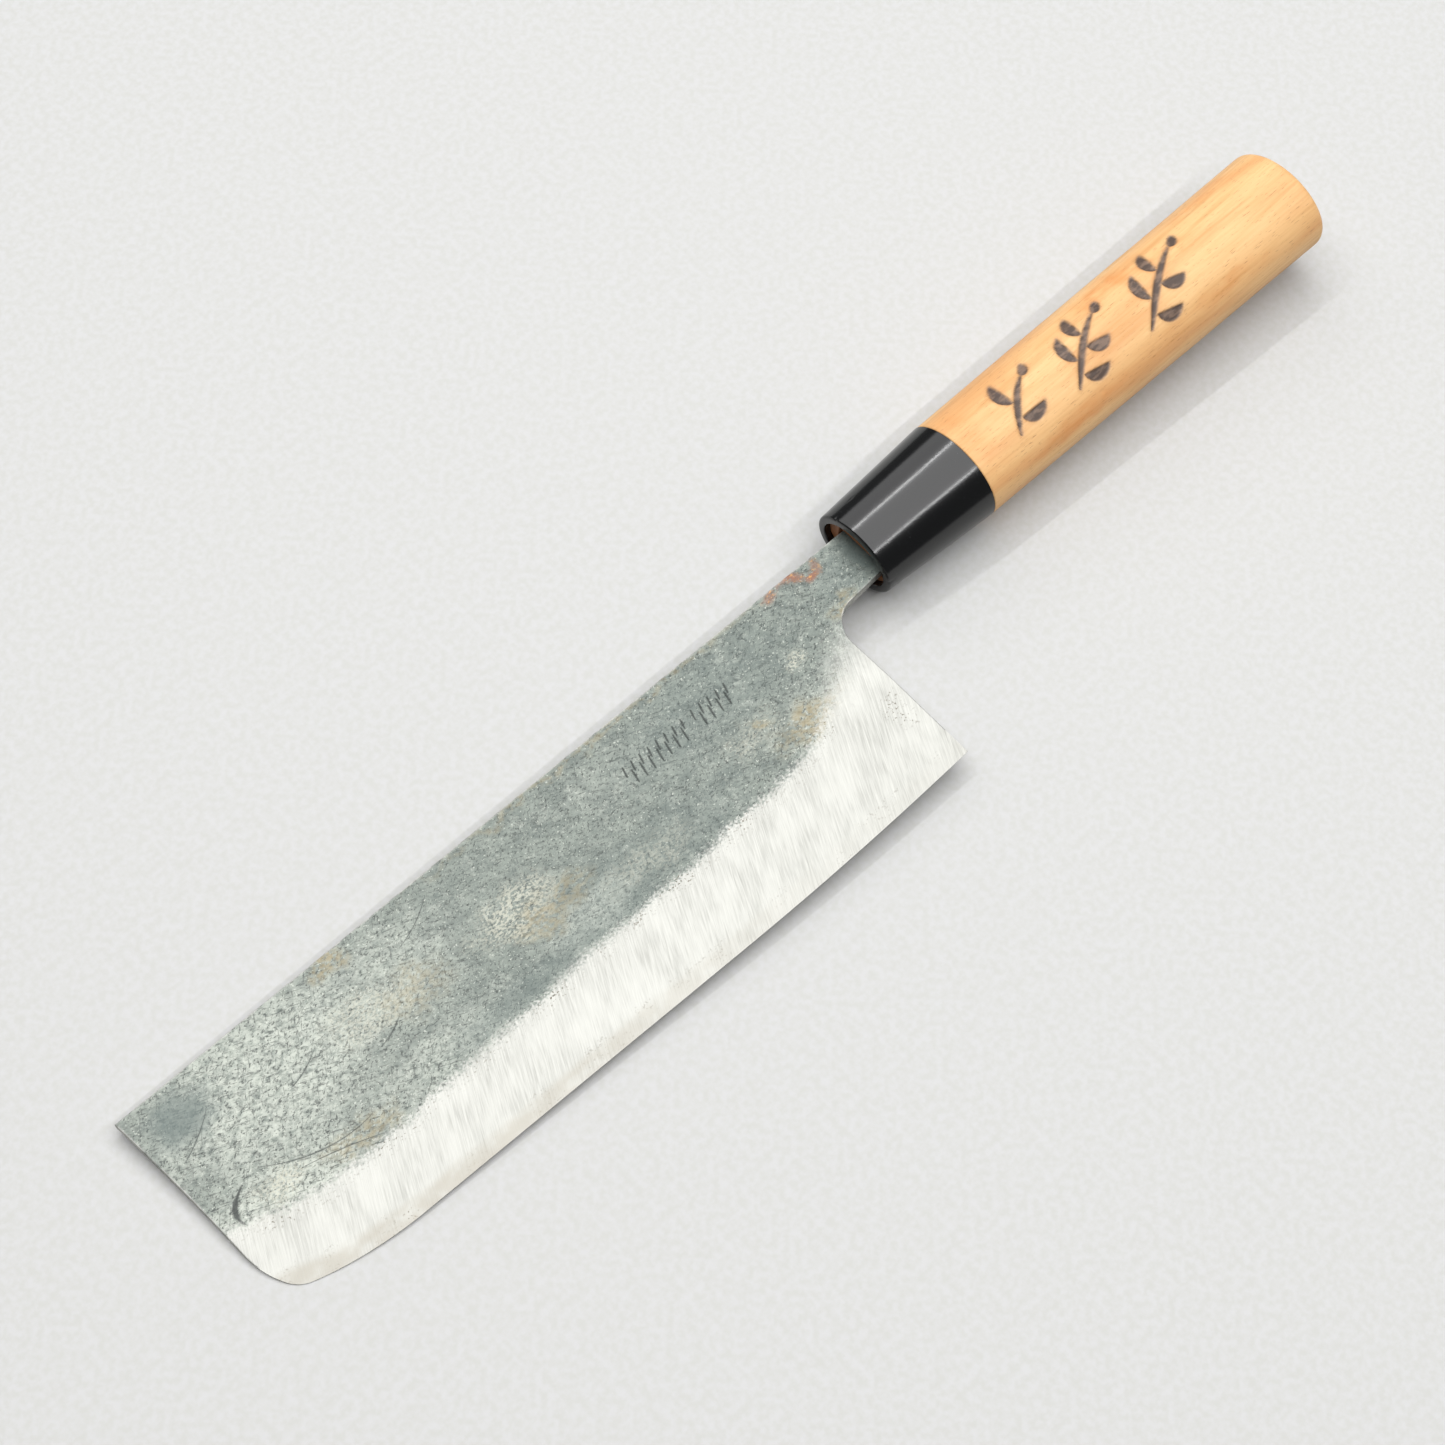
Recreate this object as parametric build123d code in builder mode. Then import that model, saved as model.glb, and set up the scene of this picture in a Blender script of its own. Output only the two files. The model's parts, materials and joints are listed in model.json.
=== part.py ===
from build123d import *
import os
from math import radians, sqrt, tan

# Vegetable cleaver: a forged blade of three layers on an oval wooden handle with a plastic collar.
# Sizes are in millimetres, in the knife's own axes: +X runs from the blade to the butt, +Y to the
# spine and +Z out of the left side. X = 0 is the heel, where the blade ends and the neck begins,
# Y = 0 is the spine's datum line, and Z = 0 is the middle of the blade's thickness.

# Blade outline. Each stretch past the flat one is given by how far it goes on and how far it rises.
blade_length = 165.0        # heel to the spine's front corner
blade_height = 48.5         # datum line to the heel corner
spine_front_y = 2.8         # spine above the datum line at its front corner
spine_heel_y = 1.1          # spine above the datum line at the heel
belly_length = 60.0         # heel corner to where the long flat stretch starts
belly_drop = 0.1            # the flat stretch starts this far below the heel corner
flat_angle = 2.0            # the flat stretch rises at this angle, in degrees
toe_length = 30.0           # end of the flat stretch to the spine's front corner
sweep_run = 15.0            # upward sweep
sweep_rise = 1.88
toe_run = 7.5               # end of the cutting edge
toe_rise = 2.1
round_run = 3.5             # the toe's tight round
round_rise = 2.9
turn_run = 2.4              # turn into the front edge
turn_rise = 8.6
front_back = 1.1            # middle of the front edge behind the spine's front corner

# Blade layers and grind
spine_thickness = 3.0       # from the collar to the heel
tip_thickness = 1.9         # at the front edge
core_thickness = 0.7        # the hard steel layer
grind_angle = 3.9           # slope of the bevel on each side, in degrees
edge_land = 0.1             # thickness left at the cutting edge

# Neck and tang
neck_length = 13.3          # heel to the collar's mouth
neck_height = 11.4          # at the collar's mouth
neck_drop = 1.0             # underside of the neck falls this much towards the heel
neck_radius = 6.5           # inside corner between neck and heel
heel_lean = 0.9             # heel line leans towards the blade by this much at the neck
tang_cover = 43.4           # solid wood left between the tang's end and the butt
tang_end_height = 5.0
tang_end_thickness = 2.0

# Handle
grip_y = -3.9               # handle axis, from the datum line
ferrule_length = 28.3
ferrule_wall = 1.8          # at the collar's mouth
ferrule_flare = 1.7         # the collar's wall grows by this much towards the wood
wood_length = 99.1
butt_height = 25.0
butt_thickness = 19.9
tenon_thickness = 12.1
tenon_wall = 0.4            # least wood between the tang slot's corners and the collar
tenon_recess = 1.5          # end of the tenon inside the collar's mouth
rim_radius = 0.5            # outer edge of the collar's mouth
butt_radius = 2.0           # outer edge of the butt

# Bedding of the tang in its slot
slot_gap = 0.8              # slot beyond the tang, above and below
slot_side_gap = 0.4         # slot beyond the tang's flat sides
slot_end_gap = 4.0          # slot deeper than the tang
bedding_recess = 2.5        # bedding behind the end of the tenon

# Places along the knife
tip_x = -blade_length
mouth_x = neck_length
collar_x = mouth_x + ferrule_length
butt_x = collar_x + wood_length
tang_end_x = butt_x - tang_cover
tenon_x = mouth_x + tenon_recess
bedding_x = tenon_x + bedding_recess
slot_end_x = tang_end_x + slot_end_gap
heel_y = -blade_height

# The straight spine runs on through the neck, and the tang tapers about the middle of the neck
spine_slope = (spine_heel_y - spine_front_y) / blade_length
neck_top_y = spine_heel_y + spine_slope * neck_length
neck_low_y = neck_top_y - neck_height
tang_y = (neck_top_y + neck_low_y) / 2
tang_end_top_y = tang_y + tang_end_height / 2
tang_end_low_y = tang_y - tang_end_height / 2

spine_half = spine_thickness / 2
tip_half = tip_thickness / 2
core_half = core_thickness / 2
tang_end_half = tang_end_thickness / 2
slot_half = spine_half + slot_side_gap
clear = 5.0                 # how far a cutting solid runs past the knife

# Oval sections of the handle, as half height and half thickness. The tenon's oval goes round the
# corners of the tang slot, the collar goes round the tenon, and the wood starts flush with it.
slot_reach = max(neck_top_y + slot_gap - grip_y, grip_y - (neck_low_y - slot_gap))
tenon_b = tenon_thickness / 2
tenon_a = slot_reach / sqrt(1 - (slot_half / tenon_b) ** 2) + tenon_wall
mouth_a, mouth_b = tenon_a + ferrule_wall, tenon_b + ferrule_wall
collar_a, collar_b = mouth_a + ferrule_flare, mouth_b + ferrule_flare
butt_a, butt_b = butt_height / 2, butt_thickness / 2

# Cutting edge: a slight belly, a long flat stretch, then two tighter arcs up to the toe
flat_x = tip_x + toe_length
flat_rise = (-belly_length - flat_x) * tan(radians(flat_angle))
with BuildLine() as cutting_edge:
    flat = Line(
        (-belly_length, heel_y - belly_drop),
        (flat_x, heel_y - belly_drop + flat_rise),
    )
    belly = TangentArc(flat @ 0, (0, heel_y), tangent=-(flat % 0))
    sweep_up = TangentArc(
        flat @ 1,
        flat @ 1 + Vector(-sweep_run, sweep_rise),
        tangent=flat % 1,
    )
    toe = TangentArc(
        sweep_up @ 1,
        sweep_up @ 1 + Vector(-toe_run, toe_rise),
        tangent=sweep_up % 1,
    )
heel_corner = belly @ 1
low_point = belly @ 0.5
toe_end = toe @ 1
toe_direction = toe % 1

# Front edge: the toe's tight round and a wider turn, then almost straight up to the spine
with BuildLine() as front_edge:
    toe_round = TangentArc(
        toe_end,
        toe_end + Vector(-round_run, round_rise),
        tangent=toe_direction,
    )
    turn = TangentArc(
        toe_round @ 1,
        toe_round @ 1 + Vector(-turn_run, turn_rise),
        tangent=toe_round % 1,
    )
    ThreePointArc(
        turn @ 1,
        (tip_x + front_back, ((turn @ 1).Y + spine_front_y) / 2),
        (tip_x, spine_front_y),
    )
touch = turn @ 1
touch_direction = turn % 1

# The knife lies on its right side, on the bevel where its front edge turns upwards and on the
# underside of the collar. The floor plane touches the first and goes through the second.
inward = Vector(toe_direction.Y, -toe_direction.X)
bevel_slope = tan(radians(grind_angle))
touch_half = edge_land / 2 + bevel_slope * inward.dot(touch - toe_end)
touch_point = Vector(touch.X, touch.Y, -touch_half)
touch_line = touch_direction - Vector(0, 0, bevel_slope * inward.dot(touch_direction))
collar_point = Vector(collar_x, grip_y, -collar_b)
up = (collar_point - touch_point).cross(touch_line).normalized()
floor = Plane(origin=touch_point, x_dir=Vector(1, 0, 0) - up * up.X, z_dir=up)

# The origin is on the floor, under the middle of the knife's bounding box
laid = Plane(floor.location.inverse())
front_x = laid.from_local_coords((tip_x, spine_front_y, 0)).X
back_x = laid.from_local_coords((butt_x, grip_y, 0)).X
low_y = laid.from_local_coords(low_point).Y
high_y = laid.from_local_coords((butt_x, grip_y + butt_a, 0)).Y
start = laid.origin - Vector((front_x + back_x) / 2, (low_y + high_y) / 2, 0)
knife = Plane(origin=start, x_dir=laid.x_dir, z_dir=laid.z_dir)
edge_on = Plane(origin=start, x_dir=knife.x_dir, z_dir=-knife.y_dir)
lengthwise = Axis(start, knife.x_dir)


def across(x: float) -> Plane:
    """The plane square to the handle axis at x, with its X axis towards the spine."""
    centre = knife.from_local_coords((x, grip_y, 0))
    return Plane(origin=centre, x_dir=knife.y_dir, z_dir=knife.x_dir)


# Grind: a solid with the cutting edge as its lower side, which leans back from it at the grind
# angle on both faces and runs well past the knife everywhere else
grind_width = spine_half / bevel_slope
margin = 2 * grind_width
with BuildSketch(knife.offset(edge_land / 2)) as grind_foot:
    with BuildLine():
        add(cutting_edge.line)
        run_out = Line(toe_end, toe_end + toe_direction * margin)
        Polyline(
            run_out @ 1,
            ((run_out @ 1).X, margin),
            (tang_end_x + margin, margin),
            (tang_end_x + margin, heel_corner.Y),
            heel_corner,
        )
    make_face()
with BuildSketch(knife.offset(edge_land / 2 + spine_half)) as grind_head:
    add(grind_foot.sketch_local)
    offset(amount=-grind_width, kind=Kind.INTERSECTION)
with BuildPart() as grind:
    add([grind_foot.sketch, grind_head.sketch])
    loft(ruled=True)
    extrude(grind_foot.sketch, amount=-edge_land)
    mirror(about=knife)

# Forging: blade, neck and tang in one outline, tapered in thickness towards both ends
with BuildPart() as forging:
    with BuildSketch(knife):
        with BuildLine():
            add([cutting_edge.line, front_edge.line])
            Polyline(
                (tip_x, spine_front_y),
                (mouth_x, neck_top_y),
                (tang_end_x, tang_end_top_y),
                (tang_end_x, tang_end_low_y),
                (mouth_x, neck_low_y),
            )
            FilletPolyline(
                (mouth_x, neck_low_y),
                (-heel_lean, neck_low_y - neck_drop),
                heel_corner,
                radius=neck_radius,
            )
        make_face()
    extrude(amount=spine_thickness, both=True)
    with BuildSketch(edge_on):
        with BuildLine():
            Polyline(
                (tip_x - clear, tip_half),
                (tip_x, tip_half),
                (0, spine_half),
                (mouth_x, spine_half),
                (tang_end_x, tang_end_half),
                (tang_end_x + clear, tang_end_half),
                (tang_end_x + clear, 0),
                (tip_x - clear, 0),
                close=True,
            )
        make_face()
        mirror(about=Plane.XZ)
    extrude(amount=blade_height + clear, both=True, mode=Mode.INTERSECT)
    add(grind.part, mode=Mode.INTERSECT)

# Hard core: it stands bare of the cladding along the cutting edge and runs through the tang
with BuildPart() as core_steel:
    add(forging.part)
    split(bisect_by=knife.offset(core_half), keep=Keep.BOTTOM)
    split(bisect_by=knife.offset(-core_half), keep=Keep.TOP)
core_steel.part.label = "core_steel"

# Soft iron cladding, forge-welded to each face of the core
with BuildPart() as cladding_left:
    add(forging.part)
    split(bisect_by=knife.offset(core_half), keep=Keep.TOP)
cladding_left.part.label = "cladding_left"

with BuildPart() as cladding_right:
    add(forging.part)
    split(bisect_by=knife.offset(-core_half), keep=Keep.BOTTOM)
cladding_right.part.label = "cladding_right"

# Tang slot: a straight-sided mortise that follows the tang's taper in height
with BuildSketch(knife) as slot_outline:
    with BuildLine():
        Polyline(
            (mouth_x, neck_top_y + slot_gap),
            (slot_end_x, tang_end_top_y + slot_gap),
            (slot_end_x, tang_end_low_y - slot_gap),
            (mouth_x, neck_low_y - slot_gap),
            close=True,
        )
    make_face()

# Handle: an oval grip that swells towards the butt, with a tenon for the collar
with BuildPart() as handle:
    with BuildSketch(across(collar_x)):
        Ellipse(collar_a, collar_b)
    with BuildSketch(across(butt_x)):
        Ellipse(butt_a, butt_b)
    loft()
    butt_face = faces().sort_by(lengthwise)[-1]
    fillet(butt_face.edges(), radius=butt_radius)
    with BuildSketch(across(tenon_x)):
        Ellipse(tenon_a, tenon_b)
    extrude(amount=collar_x - tenon_x)
    extrude(slot_outline.sketch, amount=slot_half, both=True, mode=Mode.SUBTRACT)
handle.part.label = "handle"

# Collar: a tapered oval tube pushed on to the tenon
with BuildPart() as ferrule:
    with BuildSketch(across(mouth_x)):
        Ellipse(mouth_a, mouth_b)
    with BuildSketch(across(collar_x)):
        Ellipse(collar_a, collar_b)
    loft()
    mouth_face = faces().sort_by(lengthwise)[0]
    fillet(mouth_face.edges(), radius=rim_radius)
    with BuildSketch(across(mouth_x)):
        Ellipse(tenon_a, tenon_b)
    extrude(amount=ferrule_length, mode=Mode.SUBTRACT)
ferrule.part.label = "ferrule"

# Bedding: resin that fills the slot round the tang and past its end
with BuildPart() as tang_bedding:
    extrude(slot_outline.sketch, amount=slot_half, both=True)
    split(bisect_by=across(bedding_x), keep=Keep.TOP)
    add(forging.part, mode=Mode.SUBTRACT)
tang_bedding.part.label = "tang_bedding"

os.makedirs("parts", exist_ok=True)
export_step(core_steel.part, "parts/core_steel.step")
export_step(cladding_left.part, "parts/cladding_left.step")
export_step(cladding_right.part, "parts/cladding_right.step")
export_step(handle.part, "parts/handle.step")
export_step(ferrule.part, "parts/ferrule.step")
export_step(tang_bedding.part, "parts/tang_bedding.step")
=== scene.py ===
"""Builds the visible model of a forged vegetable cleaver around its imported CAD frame.

Sizes are in millimetres in the knife's own axes: +X runs from the blade to the butt, +Y to the
spine and +Z out of the blade's left side. X = 0 is the heel, Y = 0 the spine's datum line and
Z = 0 the middle of the blade. A mesh is turned to metres only when its piece is made.
"""

import json
import logging
import math
from collections.abc import Iterable, Sequence
from dataclasses import dataclass, field
from enum import Enum

import bmesh
import bpy
import numpy as np
from mathutils import Matrix, Vector, noise
from mathutils.geometry import delaunay_2d_cdt
from mathutils.kdtree import KDTree

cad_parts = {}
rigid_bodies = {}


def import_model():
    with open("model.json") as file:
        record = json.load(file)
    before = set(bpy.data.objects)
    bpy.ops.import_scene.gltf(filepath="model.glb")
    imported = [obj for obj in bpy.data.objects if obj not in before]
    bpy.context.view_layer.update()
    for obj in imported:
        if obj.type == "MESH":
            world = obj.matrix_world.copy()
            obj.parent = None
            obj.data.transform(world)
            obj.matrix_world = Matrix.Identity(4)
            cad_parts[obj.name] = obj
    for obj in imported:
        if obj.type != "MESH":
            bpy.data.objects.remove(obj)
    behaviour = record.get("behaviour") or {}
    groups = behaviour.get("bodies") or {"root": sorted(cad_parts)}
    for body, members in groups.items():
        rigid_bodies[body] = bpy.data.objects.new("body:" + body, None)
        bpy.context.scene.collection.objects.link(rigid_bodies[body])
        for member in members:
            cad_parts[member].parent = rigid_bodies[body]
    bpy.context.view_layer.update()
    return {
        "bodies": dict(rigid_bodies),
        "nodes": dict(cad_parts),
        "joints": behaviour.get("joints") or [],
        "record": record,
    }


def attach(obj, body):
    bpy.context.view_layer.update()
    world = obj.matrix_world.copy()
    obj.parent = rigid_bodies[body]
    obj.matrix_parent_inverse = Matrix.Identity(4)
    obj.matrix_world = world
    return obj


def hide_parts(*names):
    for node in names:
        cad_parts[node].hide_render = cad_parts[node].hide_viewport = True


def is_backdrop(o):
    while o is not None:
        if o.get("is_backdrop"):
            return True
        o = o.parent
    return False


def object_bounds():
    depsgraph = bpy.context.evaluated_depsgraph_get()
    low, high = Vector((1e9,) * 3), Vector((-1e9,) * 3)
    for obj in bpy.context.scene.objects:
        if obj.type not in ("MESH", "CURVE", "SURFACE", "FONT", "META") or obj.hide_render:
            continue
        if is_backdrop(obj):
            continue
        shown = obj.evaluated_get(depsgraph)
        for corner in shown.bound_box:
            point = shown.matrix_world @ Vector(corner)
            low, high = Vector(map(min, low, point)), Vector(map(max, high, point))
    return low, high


log = logging.getLogger("cleaver")

MM = 0.001  # metres in a millimetre
BODY = "root"
PLACE = "knife"  # attribute that keeps a vertex's place in the knife's axes, in millimetres
STROKE_STEP = 0.2  # spacing of the points along a bent stroke
Waves = tuple[tuple[float, float], ...]  # height and width of each size of unevenness


class Side(Enum):
    """The two faces of the blade, as the direction of each along Z."""

    LEFT = 1
    RIGHT = -1


# ---------------------------------------------------------------- numbers and curves


def linear(colour: str) -> tuple[float, float, float, float]:
    """Turns an sRGB hex colour into linear RGBA.

    Args:
        colour: A hash sign and six hex digits.

    Returns:
        Red, green, blue and an opaque alpha.
    """
    channels = [int(colour[i : i + 2], 16) / 255 for i in (1, 3, 5)]
    lit = [c / 12.92 if c <= 0.04045 else ((c + 0.055) / 1.055) ** 2.4 for c in channels]
    return (*lit, 1.0)


def ease(values: np.ndarray, low: float, high: float) -> np.ndarray:
    """Rises smoothly from 0 at low to 1 at high."""
    part = np.clip((values - low) / (high - low), 0, 1)
    return part * part * (3 - 2 * part)


def plateau(values: np.ndarray, rise: Sequence[float], fall: Sequence[float]) -> np.ndarray:
    """Rises from 0 to 1 over one stretch and falls back over another."""
    return ease(values, *rise) * (1 - ease(values, *fall))


def smooth_min(a: np.ndarray, b: np.ndarray, width: float) -> np.ndarray:
    """The smaller of two heights, with the corner between them rounded over width."""
    mix = np.clip(0.5 + (b - a) / (2 * width), 0, 1)
    return b + (a - b) * mix - width * mix * (1 - mix)


def ripple(points: np.ndarray, size: float, seed: float) -> np.ndarray:
    """Samples smooth noise.

    Args:
        points: Rows of two or three coordinates, in millimetres.
        size: Width of one feature, in millimetres.
        seed: Shift that gives an independent pattern.

    Returns:
        One value per point, mostly between -0.6 and 0.6.
    """
    spots = np.zeros((len(points), 3))
    spots[:, : points.shape[1]] = points / size
    spots[:, 2] += seed
    return np.array([noise.noise(spot) for spot in spots.tolist()])


def uneven(points: np.ndarray, waves: Waves, seed: float) -> np.ndarray:
    """Adds up smooth noise of several sizes, each with its own seed."""
    return sum(height * ripple(points, size, seed + k) for k, (height, size) in enumerate(waves))


def distance_to_path(points: np.ndarray, path: np.ndarray) -> np.ndarray:
    """Gives the least distance from each point to an open path of short runs.

    Args:
        points: Rows of coordinates.
        path: Rows of coordinates, in order along the path.

    Returns:
        One distance per point.
    """
    nearest = np.full(len(points), np.inf)
    for start, end in zip(path[:-1], path[1:]):
        run = end - start
        share = np.clip((points - start) @ run / (run @ run), 0, 1)
        nearest = np.minimum(nearest, np.linalg.norm(points - start - share[:, None] * run, axis=1))
    return nearest


def steps(low: float, high: float, step: float) -> np.ndarray:
    """Even stations from low to high, both included, at most step apart."""
    return np.linspace(low, high, max(2, math.ceil(abs(high - low) / step) + 1))


def straight(start: Sequence[float], end: Sequence[float], step: float) -> np.ndarray:
    """Points along a straight run, both ends included.

    Args:
        start: Where the run starts.
        end: Where it ends.
        step: The most that neighbours stand apart.

    Returns:
        Rows of coordinates.
    """
    length = math.dist(start, end)
    share = steps(0, length, step) / length
    return np.outer(1 - share, start) + np.outer(share, end)


def bent(start: Sequence[float], bend: Sequence[float], end: Sequence[float]) -> np.ndarray:
    """Points along a stroke that leaves start towards bend and arrives at end from it."""
    t = steps(0, 1, STROKE_STEP / math.dist(start, end))[:, None]
    return (1 - t) ** 2 * np.array(start) + 2 * t * (1 - t) * np.array(bend) + t**2 * np.array(end)


@dataclass(frozen=True)
class Arc:
    """A circular arc in the blade's plane."""

    centre: np.ndarray
    start: np.ndarray
    sweep: float  # radians, positive anticlockwise

    @classmethod
    def through(cls, start: Sequence[float], middle: Sequence[float], end: Sequence[float]) -> "Arc":
        """The arc from start through middle to end.

        Args:
            start: Where it starts.
            middle: A point on it.
            end: Where it ends.

        Returns:
            The arc.
        """
        a, b, c = (np.array(p, float) for p in (start, middle, end))
        sides = np.array([b - a, c - a])
        centre = a + np.linalg.solve(sides, (sides**2).sum(1) / 2)
        return cls(centre, a, cls.turn(centre, a, b) + cls.turn(centre, b, c))

    @classmethod
    def leaving(cls, start: np.ndarray, direction: np.ndarray, end: Sequence[float]) -> "Arc":
        """The arc that leaves start in a direction and ends at end.

        Args:
            start: Where it starts.
            direction: Its unit direction there.
            end: Where it ends.

        Returns:
            The arc.
        """
        chord = np.array(end, float) - start
        normal = np.array([-direction[1], direction[0]])
        centre = start + normal * (chord @ chord) / (2 * chord @ normal)
        return cls(centre, start, cls.turn(centre, start, np.array(end, float)))

    @staticmethod
    def turn(centre: np.ndarray, a: np.ndarray, b: np.ndarray) -> float:
        """The signed angle from a to b round a centre."""
        (ax, ay), (bx, by) = a - centre, b - centre
        return math.atan2(ax * by - ay * bx, ax * bx + ay * by)

    def points(self, step: float) -> np.ndarray:
        """Points along the arc, both ends included, at most step apart.

        Args:
            step: The most that neighbours stand apart.

        Returns:
            Rows of X and Y.
        """
        arm = self.start - self.centre
        reach = abs(self.sweep) * np.linalg.norm(arm)
        angles = steps(0, reach, step) / reach * self.sweep
        cos, sin = np.cos(angles), np.sin(angles)
        return self.centre + np.stack([arm[0] * cos - arm[1] * sin, arm[0] * sin + arm[1] * cos], 1)

    def direction(self) -> np.ndarray:
        """The unit direction of travel at the end of the arc."""
        arm = self.points(np.inf)[-1] - self.centre
        side = np.array([-arm[1], arm[0]]) * math.copysign(1, self.sweep)
        return side / np.linalg.norm(side)


class Contour:
    """A closed outline in the blade's plane, with the inward direction at each point."""

    def __init__(self, points: np.ndarray) -> None:
        """Stores the outline.

        Args:
            points: Rows of X and Y in order round the outline, with no point repeated.
        """
        self.points = points
        ahead, behind = np.roll(points, -1, 0), np.roll(points, 1, 0)
        area = (points[:, 0] * ahead[:, 1] - ahead[:, 0] * points[:, 1]).sum()
        along = ahead - behind
        inward = np.stack([-along[:, 1], along[:, 0]], 1) * math.copysign(1, area)
        self.inward = inward / np.linalg.norm(inward, axis=1)[:, None]
        self.tree = KDTree(len(points))
        for index, point in enumerate(points):
            self.tree.insert((*point, 0), index)
        self.tree.balance()

    def depth(self, points: np.ndarray) -> np.ndarray:
        """How far each point lies inside the outline, and below 0 outside it.

        Args:
            points: Rows of X and Y.

        Returns:
            One depth per point.
        """
        near = [self.tree.find((*point, 0))[1:] for point in points]
        index = np.array([n[0] for n in near])
        side = ((points - self.points[index]) * self.inward[index]).sum(1)
        return np.copysign([n[1] for n in near], side)

    def inset(self, distance: float) -> np.ndarray:
        """The outline's own points, moved inward."""
        return self.points + self.inward * distance

    def plan(self, inner: np.ndarray) -> tuple[np.ndarray, list[list[int]]]:
        """Fills the outline with triangles.

        Args:
            inner: Further points inside the outline.

        Returns:
            The points, which start with the outline's own in order, and the triangles.
        """
        count = len(self.points)
        given = np.vstack([self.points, inner])
        edges = [(i, (i + 1) % count) for i in range(count)]
        found = delaunay_2d_cdt([Vector(p) for p in given], edges, [], 1, 1e-5)
        place = {made: origins[0] for made, origins in enumerate(found[3])}
        return given, [[place[v] for v in face] for face in found[2]]


# ---------------------------------------------------------------- the knife's axes and its pieces


class Knife:
    """The knife's own axes in the row frame, and sizes read from the CAD nodes in them."""

    mount_back = 85.0  # the blade mounts lie this far in front of the heel
    mount_drop = 13.0  # and this far below the spine's datum line
    near = 0.05  # corners this close to a station belong to it

    def __init__(self, frame: dict) -> None:
        """Reads the axes from the record's mounts.
        """
        mounts = {m["name"]: m for m in frame["record"]["mounts"]}
        left, right = mounts["blade_left_face"], mounts["blade_right_face"]
        along = Vector(mounts["grip"]["axis"]).normalized()
        out = Vector(left["axis"]) - Vector(right["axis"])
        to_spine = out.cross(along).normalized()
        out = along.cross(to_spine)
        middle = (Vector(left["pos_m"]) + Vector(right["pos_m"])) / 2
        origin = middle + (along * self.mount_back + to_spine * self.mount_drop) * MM
        self.matrix = Matrix.Translation(origin) @ Matrix((along, to_spine, out)).transposed().to_4x4()
        inverse = np.array(self.matrix.inverted())
        self.nodes = {}
        for name, node in frame["nodes"].items():
            corners = np.array([v.co for v in node.data.vertices], float)
            self.nodes[name] = (corners @ inverse[:3, :3].T + inverse[:3, 3]) / MM

    def span(self, node: str, near_x: float | None = None) -> tuple[np.ndarray, np.ndarray]:
        """Measures a CAD node in the knife's axes.

        Args:
            node: The node's name.
            near_x: Where given, only its corners at this station are measured.

        Returns:
            Its lowest and highest corners, in millimetres.
        """
        corners = self.nodes[node]
        if near_x is not None:
            corners = corners[abs(corners[:, 0] - near_x) < self.near]
        return corners.min(0), corners.max(0)


@dataclass
class Form:
    """A closed mesh in the making, in millimetres and the knife's axes."""

    vertices: list[np.ndarray] = field(default_factory=list)
    faces: list[Sequence[int]] = field(default_factory=list)
    count: int = 0

    def add(self, vertices: np.ndarray) -> int:
        """Adds vertices and gives the index of the first.

        Args:
            vertices: Rows of X, Y and Z.

        Returns:
            The index of the first.
        """
        self.vertices.append(vertices)
        self.count += len(vertices)
        return self.count - len(vertices)

    def bridge(self, first: int, second: int, length: int) -> None:
        """Joins two closed rings of the same length by quads."""
        for i in range(length):
            j = (i + 1) % length
            self.faces.append((first + i, first + j, second + j, second + i))

    def rings(self, rings: Iterable[np.ndarray], loop: bool = False) -> None:
        """Adds rings and joins each to the next.

        Args:
            rings: Closed rings of the same length.
            loop: Whether the last joins the first. Where it doesn't, both ends are capped.
        """
        starts = [(self.add(ring), len(ring)) for ring in rings]
        for (first, length), (second, _) in zip(starts, starts[1:]):
            self.bridge(first, second, length)
        if loop:
            self.bridge(starts[-1][0], starts[0][0], starts[0][1])
        else:
            for first, length in (starts[0], starts[-1]):
                self.faces.append(range(first, first + length))


def make_piece(
    name: str,
    form: Form,
    knife: Knife,
    node: str,
    material: bpy.types.Material,
    marks: dict[str, np.ndarray] | None = None,
    crease: float = 32.0,
) -> bpy.types.Object:
    """Makes a piece in place of its CAD node.

    Args:
        name: The piece's name.
        form: Its closed mesh.
        knife: The knife's axes.
        node: The CAD node that it stands for.
        material: Its finish.
        marks: One value per vertex for each mark that the finish reads.
        crease: Angle in degrees above which an edge stays sharp.

    Returns:
        The new object.
    """
    points = np.vstack(form.vertices)
    turn = np.array(knife.matrix)
    mesh = bpy.data.meshes.new(name)
    mesh.from_pydata((points * MM @ turn[:3, :3].T + turn[:3, 3]).tolist(), [], form.faces)
    shell = bmesh.new()
    shell.from_mesh(mesh)
    bmesh.ops.recalc_face_normals(shell, faces=shell.faces)
    shell.to_mesh(mesh)
    shell.free()
    mesh.attributes.new(PLACE, "FLOAT_VECTOR", "POINT").data.foreach_set("vector", points.ravel())
    for mark, values in (marks or {}).items():
        mesh.attributes.new(mark, "FLOAT", "POINT").data.foreach_set("value", values)
    mesh.polygons.foreach_set("use_smooth", [True] * len(mesh.polygons))
    mesh.set_sharp_from_angle(angle=math.radians(crease))
    mesh.materials.append(material)
    piece = bpy.data.objects.new(name, mesh)
    bpy.context.scene.collection.objects.link(piece)
    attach(piece, BODY)
    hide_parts(node)
    log.info("%s: %d vertices, %d faces", name, len(mesh.vertices), len(mesh.polygons))
    return piece


# ---------------------------------------------------------------- nodes of a finish


def pick(sockets: Iterable[bpy.types.NodeSocket], key: int | str) -> bpy.types.NodeSocket:
    """Finds a socket in use by its name, or by its place among those in use."""
    shown = [s for s in sockets if s.enabled]
    return shown[key] if isinstance(key, int) else next(s for s in shown if s.name == key)


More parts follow.
